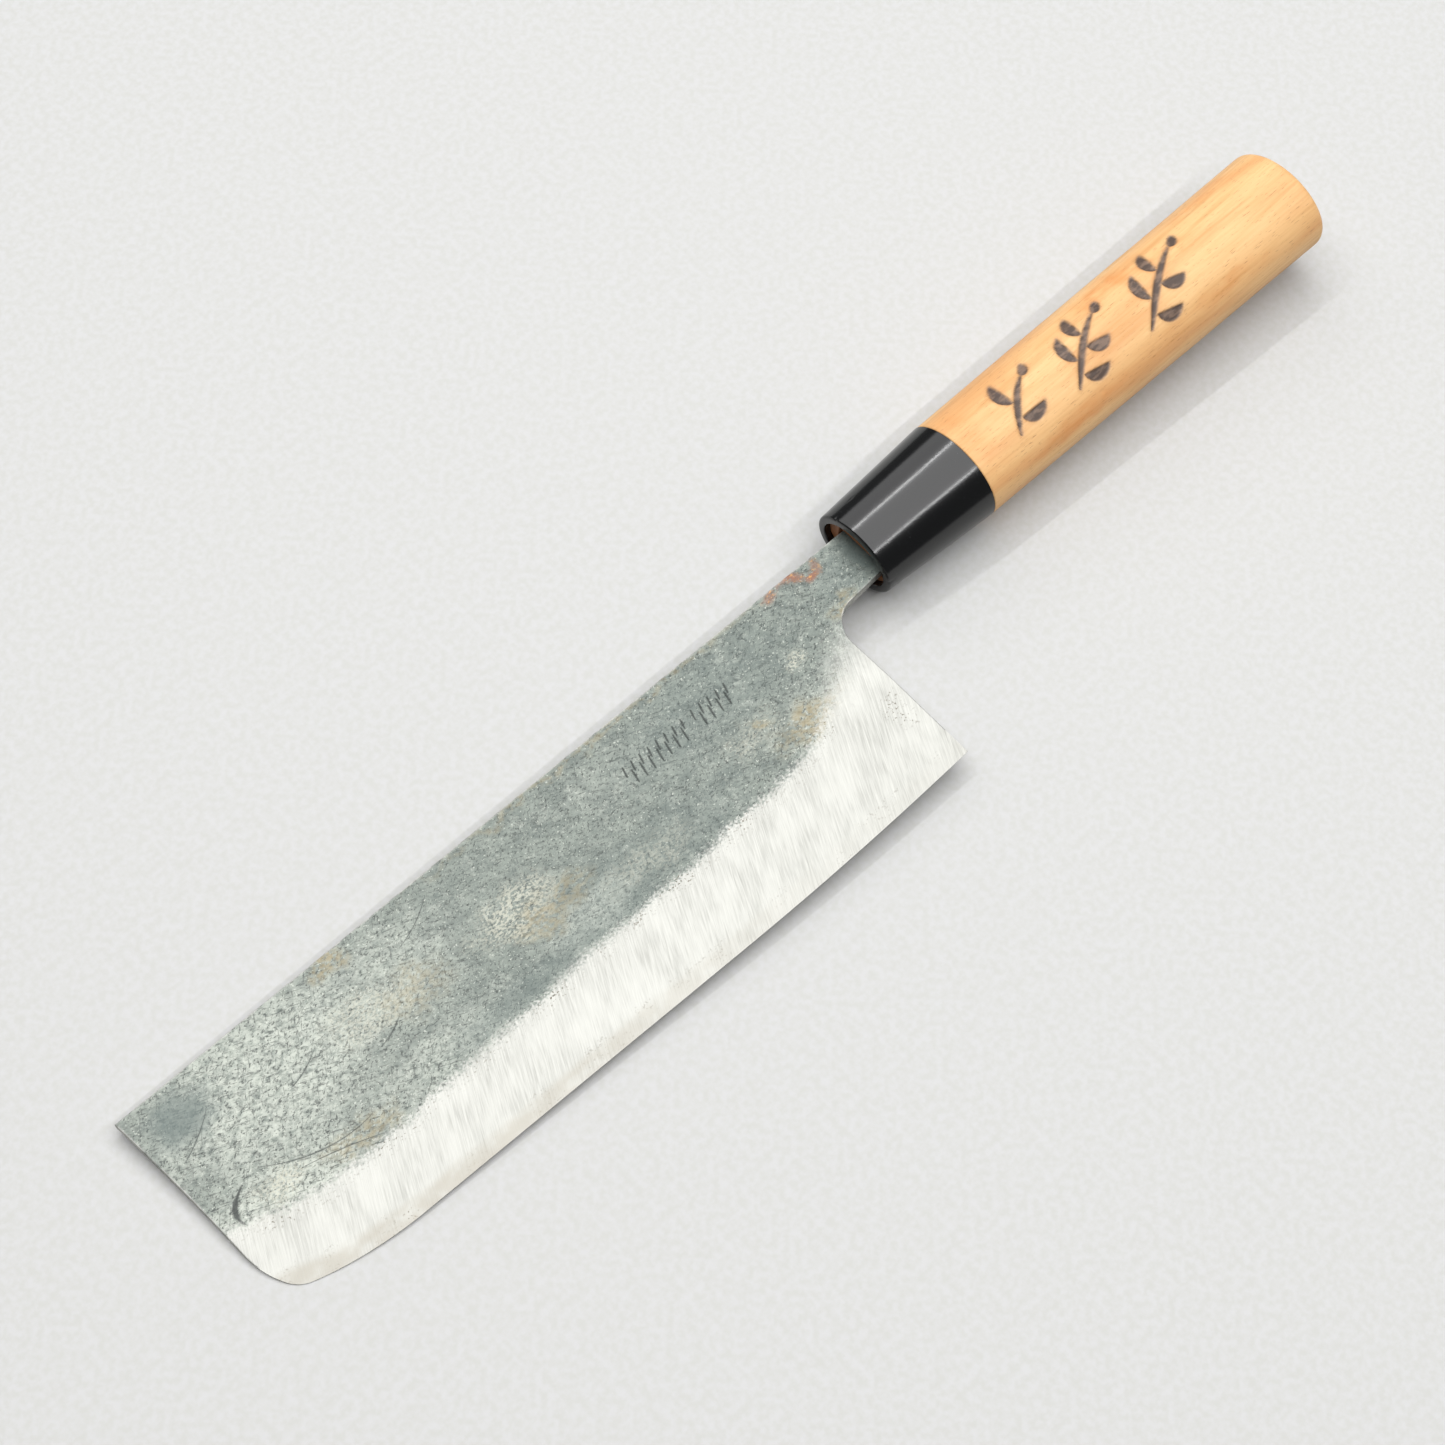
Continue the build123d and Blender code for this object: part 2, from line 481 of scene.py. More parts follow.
def add_node(
    tree: bpy.types.NodeTree,
    kind: str,
    inputs: dict[int | str, object] | None = None,
    stops: Sequence[tuple[float, str]] = (),
    **settings: object,
) -> bpy.types.Node:
    """Adds a node with its settings and links.

    Args:
        tree: The finish's nodes.
        kind: The node's type, without the word ShaderNode.
        inputs: A number, colour, socket or node for each input, by its name or place.
        stops: Places and sRGB colours, where the node is a colour ramp.
        **settings: The node's own settings.

    Returns:
        The new node.
    """
    node = tree.nodes.new("ShaderNode" + kind)
    for name, value in settings.items():
        setattr(node, name, value)
    for key, value in (inputs or {}).items():
        socket = pick(node.inputs, key)
        if isinstance(value, bpy.types.Node):
            value = pick(value.outputs, 0)
        if isinstance(value, str):
            value = linear(value)
        if isinstance(value, bpy.types.NodeSocket):
            tree.links.new(value, socket)
        else:
            socket.default_value = value
    for index, (place, colour) in enumerate(stops):
        ends = node.color_ramp.elements
        stop = ends[index] if index < len(ends) else ends.new(place)
        stop.position, stop.color = place, linear(colour)
    return node


def layered(
    tree: bpy.types.NodeTree,
    base: str | bpy.types.Node,
    layers: Iterable[tuple[str, float, bpy.types.Node | None, str | None]],
) -> bpy.types.Node:
    """Adds colours one over the other.

    Args:
        tree: The finish's nodes.
        base: Colour that lies under them all.
        layers: For each its colour, its strength, its mask and the mark that it is kept to.

    Returns:
        The node that gives the colour.
    """
    colour = base
    for over, strength, mask, mark in layers:
        share = add_node(tree, "Math", {0: mask or 1.0, 1: strength}, operation="MULTIPLY")
        if mark:
            painted = add_node(tree, "Attribute", attribute_name=mark).outputs["Fac"]
            share = add_node(tree, "Math", {0: share, 1: painted}, operation="MULTIPLY")
        colour = add_node(tree, "Mix", {0: share, 1: colour, 2: over}, data_type="RGBA")
    return colour


def new_finish(name: str) -> tuple[bpy.types.Material, bpy.types.NodeTree, bpy.types.Node]:
    """Starts a material and gives it, its empty tree and its output.

    Args:
        name: What the real finish is called.

    Returns:
        The material, its tree and its output node.
    """
    material = bpy.data.materials.new(name)
    material.use_nodes = True
    tree = material.node_tree
    tree.nodes.clear()
    return material, tree, add_node(tree, "OutputMaterial")


def grain(
    tree: bpy.types.NodeTree,
    size: Sequence[float],
    low: float,
    high: float,
    seed: float = 0.0,
    detail: float = 2.0,
    turn: float = 0.0,
    harsh: float = 0.5,
) -> bpy.types.Node:
    """Adds noise of a real size in the knife's axes, cut off between two levels.

    Args:
        tree: The finish's nodes.
        size: Width of one feature along X, Y and Z, in millimetres.
        low: Level of the noise that becomes 0.
        high: Level of the noise that becomes 1.
        seed: Number that gives an independent pattern.
        detail: Octaves of finer noise.
        turn: Degrees by which the pattern is turned in the blade's plane.
        harsh: How strong each finer octave is beside the one before.

    Returns:
        The node that gives the mask.
    """
    place = add_node(tree, "Attribute", attribute_name=PLACE).outputs["Vector"]
    turned = add_node(
        tree, "VectorRotate", {"Vector": place, "Angle": math.radians(turn)}, rotation_type="Z_AXIS"
    )
    scale = tuple(1 / s for s in size)
    scaled = add_node(tree, "VectorMath", {0: turned, 1: scale}, operation="MULTIPLY")
    octaves = {"Vector": scaled, "W": seed, "Scale": 1.0, "Detail": detail, "Roughness": harsh}
    noisy = add_node(tree, "TexNoise", octaves, noise_dimensions="4D")
    limits = {"Value": noisy, "From Min": low, "From Max": high}
    return add_node(tree, "MapRange", limits, interpolation_type="SMOOTHSTEP")


# ---------------------------------------------------------------- finishes


@dataclass(frozen=True)
class ForgedIron:
    """Soft iron, black from the forge above the grind and stone-ground below it.

    Forge scale is a thin crust of iron oxide: half matt and blue-grey, darker where it is thick
    and pale where it has worn to the iron. The grind leaves fine parallel lines, which spread a
    reflection across them and make the bevel look almost white under a wide light.
    """

    scale_dark: str = "#5f6762"
    scale_light: str = "#80877f"
    scale_pale: str = "#b7bbb1"
    fleck: str = "#272c2a"
    worn_iron: str = "#b3b2a3"
    stain: str = "#8b7f60"
    rust_brown: str = "#7f5440"
    rust_yellow: str = "#b98a50"
    # Dark smooth scale; near the collar the same colour is painted shade on the neck.
    soot_and_shade: str = "#56615e"
    ground_low: str = "#8a8a85"
    ground_high: str = "#c3c3be"
    pit: str = "#5e574b"
    scale_metal: float = 0.25
    scale_rough: tuple[float, float] = (0.42, 0.6)
    ground_rough: tuple[float, float] = (0.5, 0.66)
    line_width: float = 0.16  # the real lines are about 0.05 mm apart, too fine to show
    line_length: float = 5.0
    line_turn: float = 27.0  # the lines lean from square to the edge, in degrees
    line_spread: float = 2.5  # the broader strokes of a coarse stone, beside the fine ones
    crust_depth: float = 3e-5  # metres
    line_depth: float = 6e-6
    relief: float = 0.8
    ragged_reach: float = 3.4  # how far the scale's torn border strays
    cloud_share: float = 0.35

    def lines(self, tree: bpy.types.NodeTree) -> bpy.types.Node:
        """Adds the grind's parallel lines as a mask.

        Args:
            tree: The finish's nodes.

        Returns:
            The node that gives the mask.
        """
        fine = (self.line_width, self.line_length, self.line_length)
        broad = (self.line_spread * self.line_width, self.line_length, self.line_length)
        strokes = [grain(tree, size, 0.3, 0.7, 3.0, 3.0, self.line_turn) for size in (fine, broad)]
        return add_node(tree, "Mix", {0: 0.5, 1: strokes[0], 2: strokes[1]})

    def scale_colour(self, tree: bpy.types.NodeTree) -> bpy.types.Node:
        """Adds the forge scale's colour: cloudy, flecked, worn, stained and rusted.

        Args:
            tree: The finish's nodes.

        Returns:
            The node that gives the colour.
        """
        mottle = grain(tree, (4.5, 3.4, 4), 0.34, 0.66, 1.0, 8.0, 10.0, 0.75)
        bloom = grain(tree, (1.5, 1.0, 1.2), 0.3, 0.62, 5.0, 5.0, 0.0, 0.7)
        haze = grain(tree, (2.6, 1.9, 2.2), 0.5, 0.68, 6.0, 7.0, 0.0, 0.75)
        shade = grain(tree, (1.5, 0.9, 1.2), 0.5, 0.66, 8.0, 6.0, 30.0, 0.72)
        layers = [
            (self.scale_light, 0.9, mottle, None),
            (self.scale_pale, 0.8, bloom, "pale"),
            (self.scale_pale, 0.4, haze, None),
            (self.fleck, 0.62, shade, None),
            (self.fleck, 0.7, grain(tree, (0.65, 0.36, 0.4), 0.57, 0.65, 9.0, 2.0, -20.0), None),
            (self.fleck, 0.55, grain(tree, (2.6, 0.26, 0.4), 0.6, 0.67, 10.0, 2.0, 24.0), None),
            (self.fleck, 0.5, grain(tree, (0.26, 2.2, 0.4), 0.61, 0.68, 12.0, 2.0, 35.0), None),
            (self.scale_pale, 0.7, grain(tree, (0.5, 0.4, 0.4), 0.62, 0.7, 11.0, 2.0), None),
            (self.worn_iron, 0.9, grain(tree, (0.6, 0.4, 0.5), 0.43, 0.58, 13.0, 3.0), "worn"),
            (self.stain, 0.75, grain(tree, (1.4, 0.9, 1), 0.36, 0.6, 15.0, 3.0), "stain"),
            # Dark smooth scale, and painted shade on the neck where it meets the collar.
            (self.soot_and_shade, 0.85, grain(tree, (3, 3, 3), 0.1, 0.4, 16.0), "soot_and_shade"),
            (self.rust_brown, 0.9, grain(tree, (1.1, 0.7, 1), 0.34, 0.5, 17.0, 4.0), "rust"),
            (self.rust_yellow, 0.9, grain(tree, (0.8, 0.6, 0.8), 0.54, 0.66, 18.0, 3.0), "rust"),
            (self.fleck, 0.9, None, "scratch"),
        ]
        return layered(tree, self.scale_dark, layers)

    def ground_colour(self, tree: bpy.types.NodeTree, lines: bpy.types.Node) -> bpy.types.Node:
        """Adds the ground iron's colour, with cloudy patches and a few brown pits.

        Args:
            tree: The finish's nodes.
            lines: The mask of the grind's lines.

        Returns:
            The node that gives the colour.
        """
        bright = add_node(
            tree, "Mix", {0: lines, 1: self.ground_low, 2: self.ground_high}, data_type="RGBA"
        )
        cloud = grain(tree, (6, 10, 8), 0.35, 0.7, 21.0, 3.0, self.line_turn)
        share = add_node(tree, "Math", {0: cloud, 1: self.cloud_share}, operation="MULTIPLY")
        clouded = add_node(
            tree, "Mix", {0: share, 1: bright, 2: self.ground_high}, data_type="RGBA"
        )
        pits = grain(tree, (0.5, 0.4, 0.5), 0.58, 0.66, 23.0, 2.0)
        near = add_node(tree, "Attribute", attribute_name="pitted").outputs["Fac"]
        share = add_node(tree, "Math", {0: pits, 1: near}, operation="MULTIPLY")
        return add_node(tree, "Mix", {0: share, 1: clouded, 2: self.pit}, data_type="RGBA")

    def ground_share(self, tree: bpy.types.NodeTree) -> bpy.types.Node:
        """Adds the mask of bare ground iron, ragged at its upper side.

        Args:
            tree: The finish's nodes.

        Returns:
            The node that gives the mask.
        """
        depth = add_node(tree, "Attribute", attribute_name="grind").outputs["Fac"]
        width = add_node(tree, "Attribute", attribute_name="fade").outputs["Fac"]
        ragged = grain(tree, (0.6, 0.45, 0.6), 0.1, 0.9, 25.0, 4.0)
        centred = add_node(tree, "Math", {0: ragged, 1: 0.5}, operation="SUBTRACT")
        torn = {0: centred, 1: self.ragged_reach, 2: depth}
        reach = add_node(tree, "Math", torn, operation="MULTIPLY_ADD")
        even = add_node(tree, "Math", {0: reach, 1: width}, operation="DIVIDE")
        limits = {"Value": even, "From Min": -0.5, "From Max": 0.5}
        bare = add_node(tree, "MapRange", limits, interpolation_type="SMOOTHSTEP")
        rim = add_node(tree, "Attribute", attribute_name="rim").outputs["Fac"]
        chafed = grain(tree, (3, 3, 3), 0.3, 0.55, 27.0, 3.0)
        arris = add_node(tree, "Math", {0: rim, 1: chafed}, operation="MULTIPLY")
        return add_node(tree, "Math", {0: bare, 1: arris}, operation="MAXIMUM")

    def material(self) -> bpy.types.Material:
        """Builds the material."""
        material, tree, output = new_finish("forge-scaled and stone-ground soft iron")
        lines, bare = self.lines(tree), self.ground_share(tree)
        colours = {0: bare, 1: self.scale_colour(tree), 2: self.ground_colour(tree, lines)}
        colour = add_node(tree, "Mix", colours, data_type="RGBA")
        crust = grain(tree, (0.7, 0.5, 0.6), 0.25, 0.75, 31.0, 5.0)
        low, high = self.scale_rough
        scale_rough = add_node(tree, "MapRange", {"Value": crust, "To Min": low, "To Max": high})
        low, high = self.ground_rough
        ground_rough = add_node(tree, "MapRange", {"Value": lines, "To Min": low, "To Max": high})
        rough = add_node(tree, "Mix", {0: bare, 1: scale_rough, 2: ground_rough})
        metal = add_node(tree, "MapRange", {"Value": bare, "To Min": self.scale_metal})
        height = add_node(tree, "Mix", {0: bare, 1: crust, 2: lines})
        depths = {"Value": bare, "To Min": self.crust_depth, "To Max": self.line_depth}
        depth = add_node(tree, "MapRange", depths)
        uneven_face = {"Height": height, "Distance": depth, "Strength": self.relief}
        bump = add_node(tree, "Bump", uneven_face)
        inputs = {"Base Color": colour, "Metallic": metal, "Roughness": rough, "Normal": bump}
        shader = add_node(tree, "BsdfPrincipled", inputs)
        tree.links.new(shader.outputs["BSDF"], output.inputs["Surface"])
        return material


@dataclass(frozen=True)
class CoreSteel(ForgedIron):
    """High carbon steel, bare along the edge: a little warmer than the iron beside it.

    It takes the same grind in the same strokes, so the lines run on from the iron to the steel,
    and its slight patina makes the band along the edge look cream beside the white iron.
    """

    tarnish: str = "#969084"
    tarnish_share: float = 0.5

    def material(self) -> bpy.types.Material:
        """Builds the material."""
        material, tree, output = new_finish("stone-ground high carbon steel")
        lines = self.lines(tree)
        low, high = self.ground_rough
        rough = add_node(tree, "MapRange", {"Value": lines, "To Min": low, "To Max": high})
        cut = {"Height": lines, "Distance": self.line_depth, "Strength": self.relief}
        bump = add_node(tree, "Bump", cut)
        film = grain(tree, (5, 3, 4), 0.2, 0.6, 29.0, 4.0)
        layers = [(self.tarnish, self.tarnish_share, film, "tarnish")]
        colour = layered(tree, self.ground_colour(tree, lines), layers)
        inputs = {"Base Color": colour, "Roughness": rough, "Normal": bump}
        shader = add_node(tree, "BsdfPrincipled", {**inputs, "Metallic": 1.0})
        tree.links.new(shader.outputs["BSDF"], output.inputs["Surface"])
        return material


@dataclass(frozen=True)
class OiledMagnolia:
    """Magnolia wood, turned, sanded and oiled by years of hands.

    It is honey-coloured, soft and even, with short dark pores along the grain, orange where the
    oil has soaked in and half matt all over. Strokes burned into it are brown-black and rough,
    with a scorched brown border.
    """

    wood_dark: str = "#cf9b66"
    wood_light: str = "#dab07b"
    fibre: str = "#b98448"
    pore: str = "#8a5a30"
    stain: str = "#c87a38"
    end_grain: str = "#8f5a38"
    burn: str = "#3d2f28"
    burn_light: str = "#6f5a4c"
    scorch: str = "#8b5a35"
    rough: tuple[float, float] = (0.45, 0.62)

    def material(self) -> bpy.types.Material:
        """Builds the material."""
        material, tree, output = new_finish("oiled magnolia wood")
        fibres = grain(tree, (11, 0.42, 0.42), 0.35, 0.72, 41.0, 3.0)
        pores = grain(tree, (1.9, 0.17, 0.17), 0.64, 0.72, 43.0, 1.0)
        layers = [
            (self.wood_light, 1.0, grain(tree, (38, 6, 6), 0.36, 0.62, 45.0, 3.0), None),
            (self.fibre, 0.22, fibres, None),
            (self.fibre, 0.35, grain(tree, (24, 1.6, 1.6), 0.52, 0.7, 47.0, 2.0), None),
            (self.pore, 0.55, pores, None),
            (self.stain, 0.6, grain(tree, (6, 3, 3), 0.3, 0.65, 49.0, 3.0), "stain"),
            (self.end_grain, 0.95, grain(tree, (1, 0.5, 0.5), 0.1, 0.4, 51.0, 3.0), "end"),
            (self.scorch, 0.75, grain(tree, (2, 1.2, 1.2), 0.2, 0.55, 53.0, 2.0), "scorch"),
            (self.burn_light, 1.0, None, "burn"),
            (self.burn, 0.85, grain(tree, (2.4, 1.1, 1.1), 0.34, 0.56, 55.0, 3.0), "burn"),
        ]
        colour = layered(tree, self.wood_dark, layers)
        low, high = self.rough
        rough = add_node(tree, "MapRange", {"Value": fibres, "To Min": low, "To Max": high})
        sunk = add_node(tree, "Math", {0: fibres, 1: pores}, operation="SUBTRACT")
        bump = add_node(tree, "Bump", {"Height": sunk, "Distance": 2e-5, "Strength": 0.7})
        inputs = {"Base Color": colour, "Roughness": rough, "Normal": bump, "IOR": 1.46}
        shader = add_node(tree, "BsdfPrincipled", inputs)
        tree.links.new(shader.outputs["BSDF"], output.inputs["Surface"])
        return material


@dataclass(frozen=True)
class BlackPlastic:
    """Black moulded ABS, polished smooth: it mirrors a light sharply, broken by fine scuffs."""

    black: str = "#060708"
    scuffed: str = "#24282a"
    rough: tuple[float, float] = (0.16, 0.36)

    def material(self) -> bpy.types.Material:
        """Builds the material."""
        material, tree, output = new_finish("polished black ABS")
        scuffs = grain(tree, (0.25, 1.8, 1.8), 0.6, 0.74, 61.0, 3.0, 12.0)
        haze = grain(tree, (5, 4, 4), 0.35, 0.8, 63.0, 4.0)
        dust = grain(tree, (0.3, 0.3, 0.3), 0.68, 0.76, 65.0, 1.0)
        worn = add_node(tree, "Math", {0: scuffs, 1: dust}, operation="MAXIMUM")
        share = add_node(tree, "Math", {0: worn, 1: haze}, operation="MULTIPLY")
        colours = {0: share, 1: self.black, 2: self.scuffed}
        colour = add_node(tree, "Mix", colours, data_type="RGBA")
        low, high = self.rough
        rough = add_node(tree, "MapRange", {"Value": share, "To Min": low, "To Max": high})
        orange_peel = grain(tree, (3, 2, 2), 0.2, 0.8, 67.0, 2.0)
        height = add_node(tree, "Math", {0: orange_peel, 1: share}, operation="SUBTRACT")
        bump = add_node(tree, "Bump", {"Height": height, "Distance": 6e-6, "Strength": 0.6})
        inputs = {"Base Color": colour, "Roughness": rough, "Normal": bump, "IOR": 1.54}
        shader = add_node(tree, "BsdfPrincipled", inputs)
        tree.links.new(shader.outputs["BSDF"], output.inputs["Surface"])
        return material


@dataclass(frozen=True)
class BeddingResin:
    """Dark resin, melted round the tang: brown-black, uneven and dull with dust."""

    resin: str = "#1d1612"
    dust: str = "#5a4636"

    def material(self) -> bpy.types.Material:
        """Builds the material."""
        material, tree, output = new_finish("melted bedding resin")
        dusty = grain(tree, (0.8, 0.6, 0.6), 0.4, 0.7, 71.0, 4.0)
        colours = {0: dusty, 1: self.resin, 2: self.dust}
        colour = add_node(tree, "Mix", colours, data_type="RGBA")
        rough = add_node(tree, "MapRange", {"Value": dusty, "To Min": 0.4, "To Max": 0.85})
        bump = add_node(tree, "Bump", {"Height": dusty, "Distance": 8e-5, "Strength": 1.0})
        inputs = {"Base Color": colour, "Roughness": rough, "Normal": bump, "IOR": 1.54}
        shader = add_node(tree, "BsdfPrincipled", inputs)
        tree.links.new(shader.outputs["BSDF"], output.inputs["Surface"])
        return material


@dataclass(frozen=True)
class FloorPaper:
    """Pale uncoated paper: matt and even, with a faint tooth."""

    low: str = "#b4b4b1"
    high: str = "#bababa"

    def material(self) -> bpy.types.Material:
        """Builds the material."""
        material, tree, output = new_finish("pale uncoated paper")
        tooth = grain(tree, (1.5, 1.5, 1.5), 0.3, 0.7, 81.0, 3.0)
        colours = {0: tooth, 1: self.low, 2: self.high}
        colour = add_node(tree, "Mix", colours, data_type="RGBA")
        bump = add_node(tree, "Bump", {"Height": tooth, "Distance": 2e-5, "Strength": 0.4})
        inputs = {"Base Color": colour, "Roughness": 0.9, "Normal": bump}
        shader = add_node(tree, "BsdfPrincipled", inputs)
        tree.links.new(shader.outputs["BSDF"], output.inputs["Surface"])
        return material


# ---------------------------------------------------------------- blade


@dataclass(frozen=True)
class Spot:
    """An uneven patch on the blade or the wood."""

    x: float
    y: float
    reach_x: float
    reach_y: float
    strength: float = 1.0

    def cover(self, points: np.ndarray) -> np.ndarray:
        """How far each point is covered, from 0 to the patch's strength.

        Args:
            points: Rows of X and Y.

        Returns:
            One value per point.
        """
        along = (points[:, 0] - self.x) / self.reach_x
        across = (points[:, 1] - self.y) / self.reach_y
        return self.strength * (1 - ease(np.hypot(along, across), 0.3, 1.0))


@dataclass(frozen=True)
class Dent:
    """A small round hollow in the handle or the collar."""

    x: float
    around: float
    size: float
    depth: float

    def sink(self, x: np.ndarray, around: np.ndarray) -> np.ndarray:
        """How deep each point lies in the hollow, by its station and its distance round."""
        away = np.hypot(x - self.x, around - self.around)
        return self.depth * (1 - ease(away, 0, self.size))


@dataclass(frozen=True)
class Stroke:
    """A bent cut in a surface: a scratch, a punched stroke or a burned one."""

    path: np.ndarray
    width: float
    depth: float
    taper: float = 0.0  # 0 keeps the width, 1 runs out to a point at both ends

    def cover(self, points: np.ndarray, soft: float) -> np.ndarray:
        """How far each point is inside the stroke, from 0 to 1.

        Args:
            points: Rows of two coordinates on the surface.
            soft: Width of the stroke's sides.

        Returns:
            One value per point.
        """
        reach = self.width / 2 + soft
        low, high = self.path.min(0) - reach, self.path.max(0) + reach
        inside = np.zeros(len(points))
        near = ((points > low) & (points < high)).all(1)
        share = np.linspace(0, 1, len(self.path))
        half = self.width / 2 * (1 - self.taper * (2 * share - 1) ** 2)
        gap = np.linalg.norm(points[near, None] - self.path[None], axis=2) - half
        inside[near] = 1 - ease(gap.min(1), -soft / 2, soft / 2)
        return inside


@dataclass(frozen=True)
class ScaleBorder:
    """Where the forge scale ends above the grind: a wandering line, blurred at the heel."""

    waves: Waves = ((0.9, 15.0), (0.5, 4.0))
    blur: float = 2.8  # width of the change from scale to bare iron
    blur_wave: tuple[float, float] = (1.6, 9.0)
    least_blur: float = 1.4
    heel_rise: tuple[float, float] = (-24.0, -1.0)  # the grind climbs between these stations
    heel_fall: tuple[float, float] = (1.0, 3.0)  # and falls again between these
    heel_climb: float = 10.5
    heel_blur: float = 11.0
    pit_rise: tuple[float, float] = (-1.8, 0.0)  # pits keep to a band along the border
    pit_fall: tuple[float, float] = (1.2, 4.0)
    pit_least: float = 0.35
    pit_wave: float = 8.0
    soot_and_shade: float = 0.4  # a smoother, darker band runs above the middle of the border
    soot_rise: tuple[float, float] = (-6.5, -4.0)
    soot_fall: tuple[float, float] = (-1.5, -0.5)
    soot_start: tuple[float, float] = (-118.0, -104.0)
    soot_end: tuple[float, float] = (-66.0, -52.0)
    smear: tuple[float, float] = (3.0, 5.0)  # how far the borders of patches wander, and how widely

    def marks(
        self, points: np.ndarray, above: np.ndarray, patches: dict[str, list[Spot]], seed: float
    ) -> dict[str, np.ndarray]:
        """Works out what the finish of a face reads.

        Args:
            points: Rows of X and Y.
            above: How far each lies below the top of the grind.
            patches: The face's patches, under the mark that each adds to.
            seed: The face's own seed.

        Returns:
            One value per point for each mark.
        """
        near_heel = plateau(points[:, 0], self.heel_rise, self.heel_fall)
        grind = above + uneven(points, self.waves, seed) + near_heel * self.heel_climb
        height, size = self.blur_wave
        fade = self.blur + height * ripple(points, size, seed + 2) + near_heel * self.heel_blur
        marks = {"grind": grind, "fade": np.maximum(fade, self.least_blur)}
        clustered = ease(ripple(points, self.pit_wave, seed + 3), -0.1, 0.3)
        band = plateau(grind, self.pit_rise, self.pit_fall)
        marks["pitted"] = band * (self.pit_least + (1 - self.pit_least) * clustered)
        far, wide = self.smear
        shifts = [far * ripple(points, wide, seed + k) for k in (4, 5)]
        smeared = points + np.column_stack(shifts)
        for name, spots in patches.items():
            cover = [spot.cover(smeared) for spot in spots]
            marks[name] = np.max([*cover, np.zeros(len(points))], axis=0)
        marks["pitted"] = np.maximum(marks["pitted"], marks.pop("pits"))
        smooth = plateau(grind, self.soot_rise, self.soot_fall)
        stretch = plateau(points[:, 0], self.soot_start, self.soot_end)
        marks["soot_and_shade"] = np.maximum(marks["soot_and_shade"], self.soot_and_shade * smooth * stretch)
        return marks


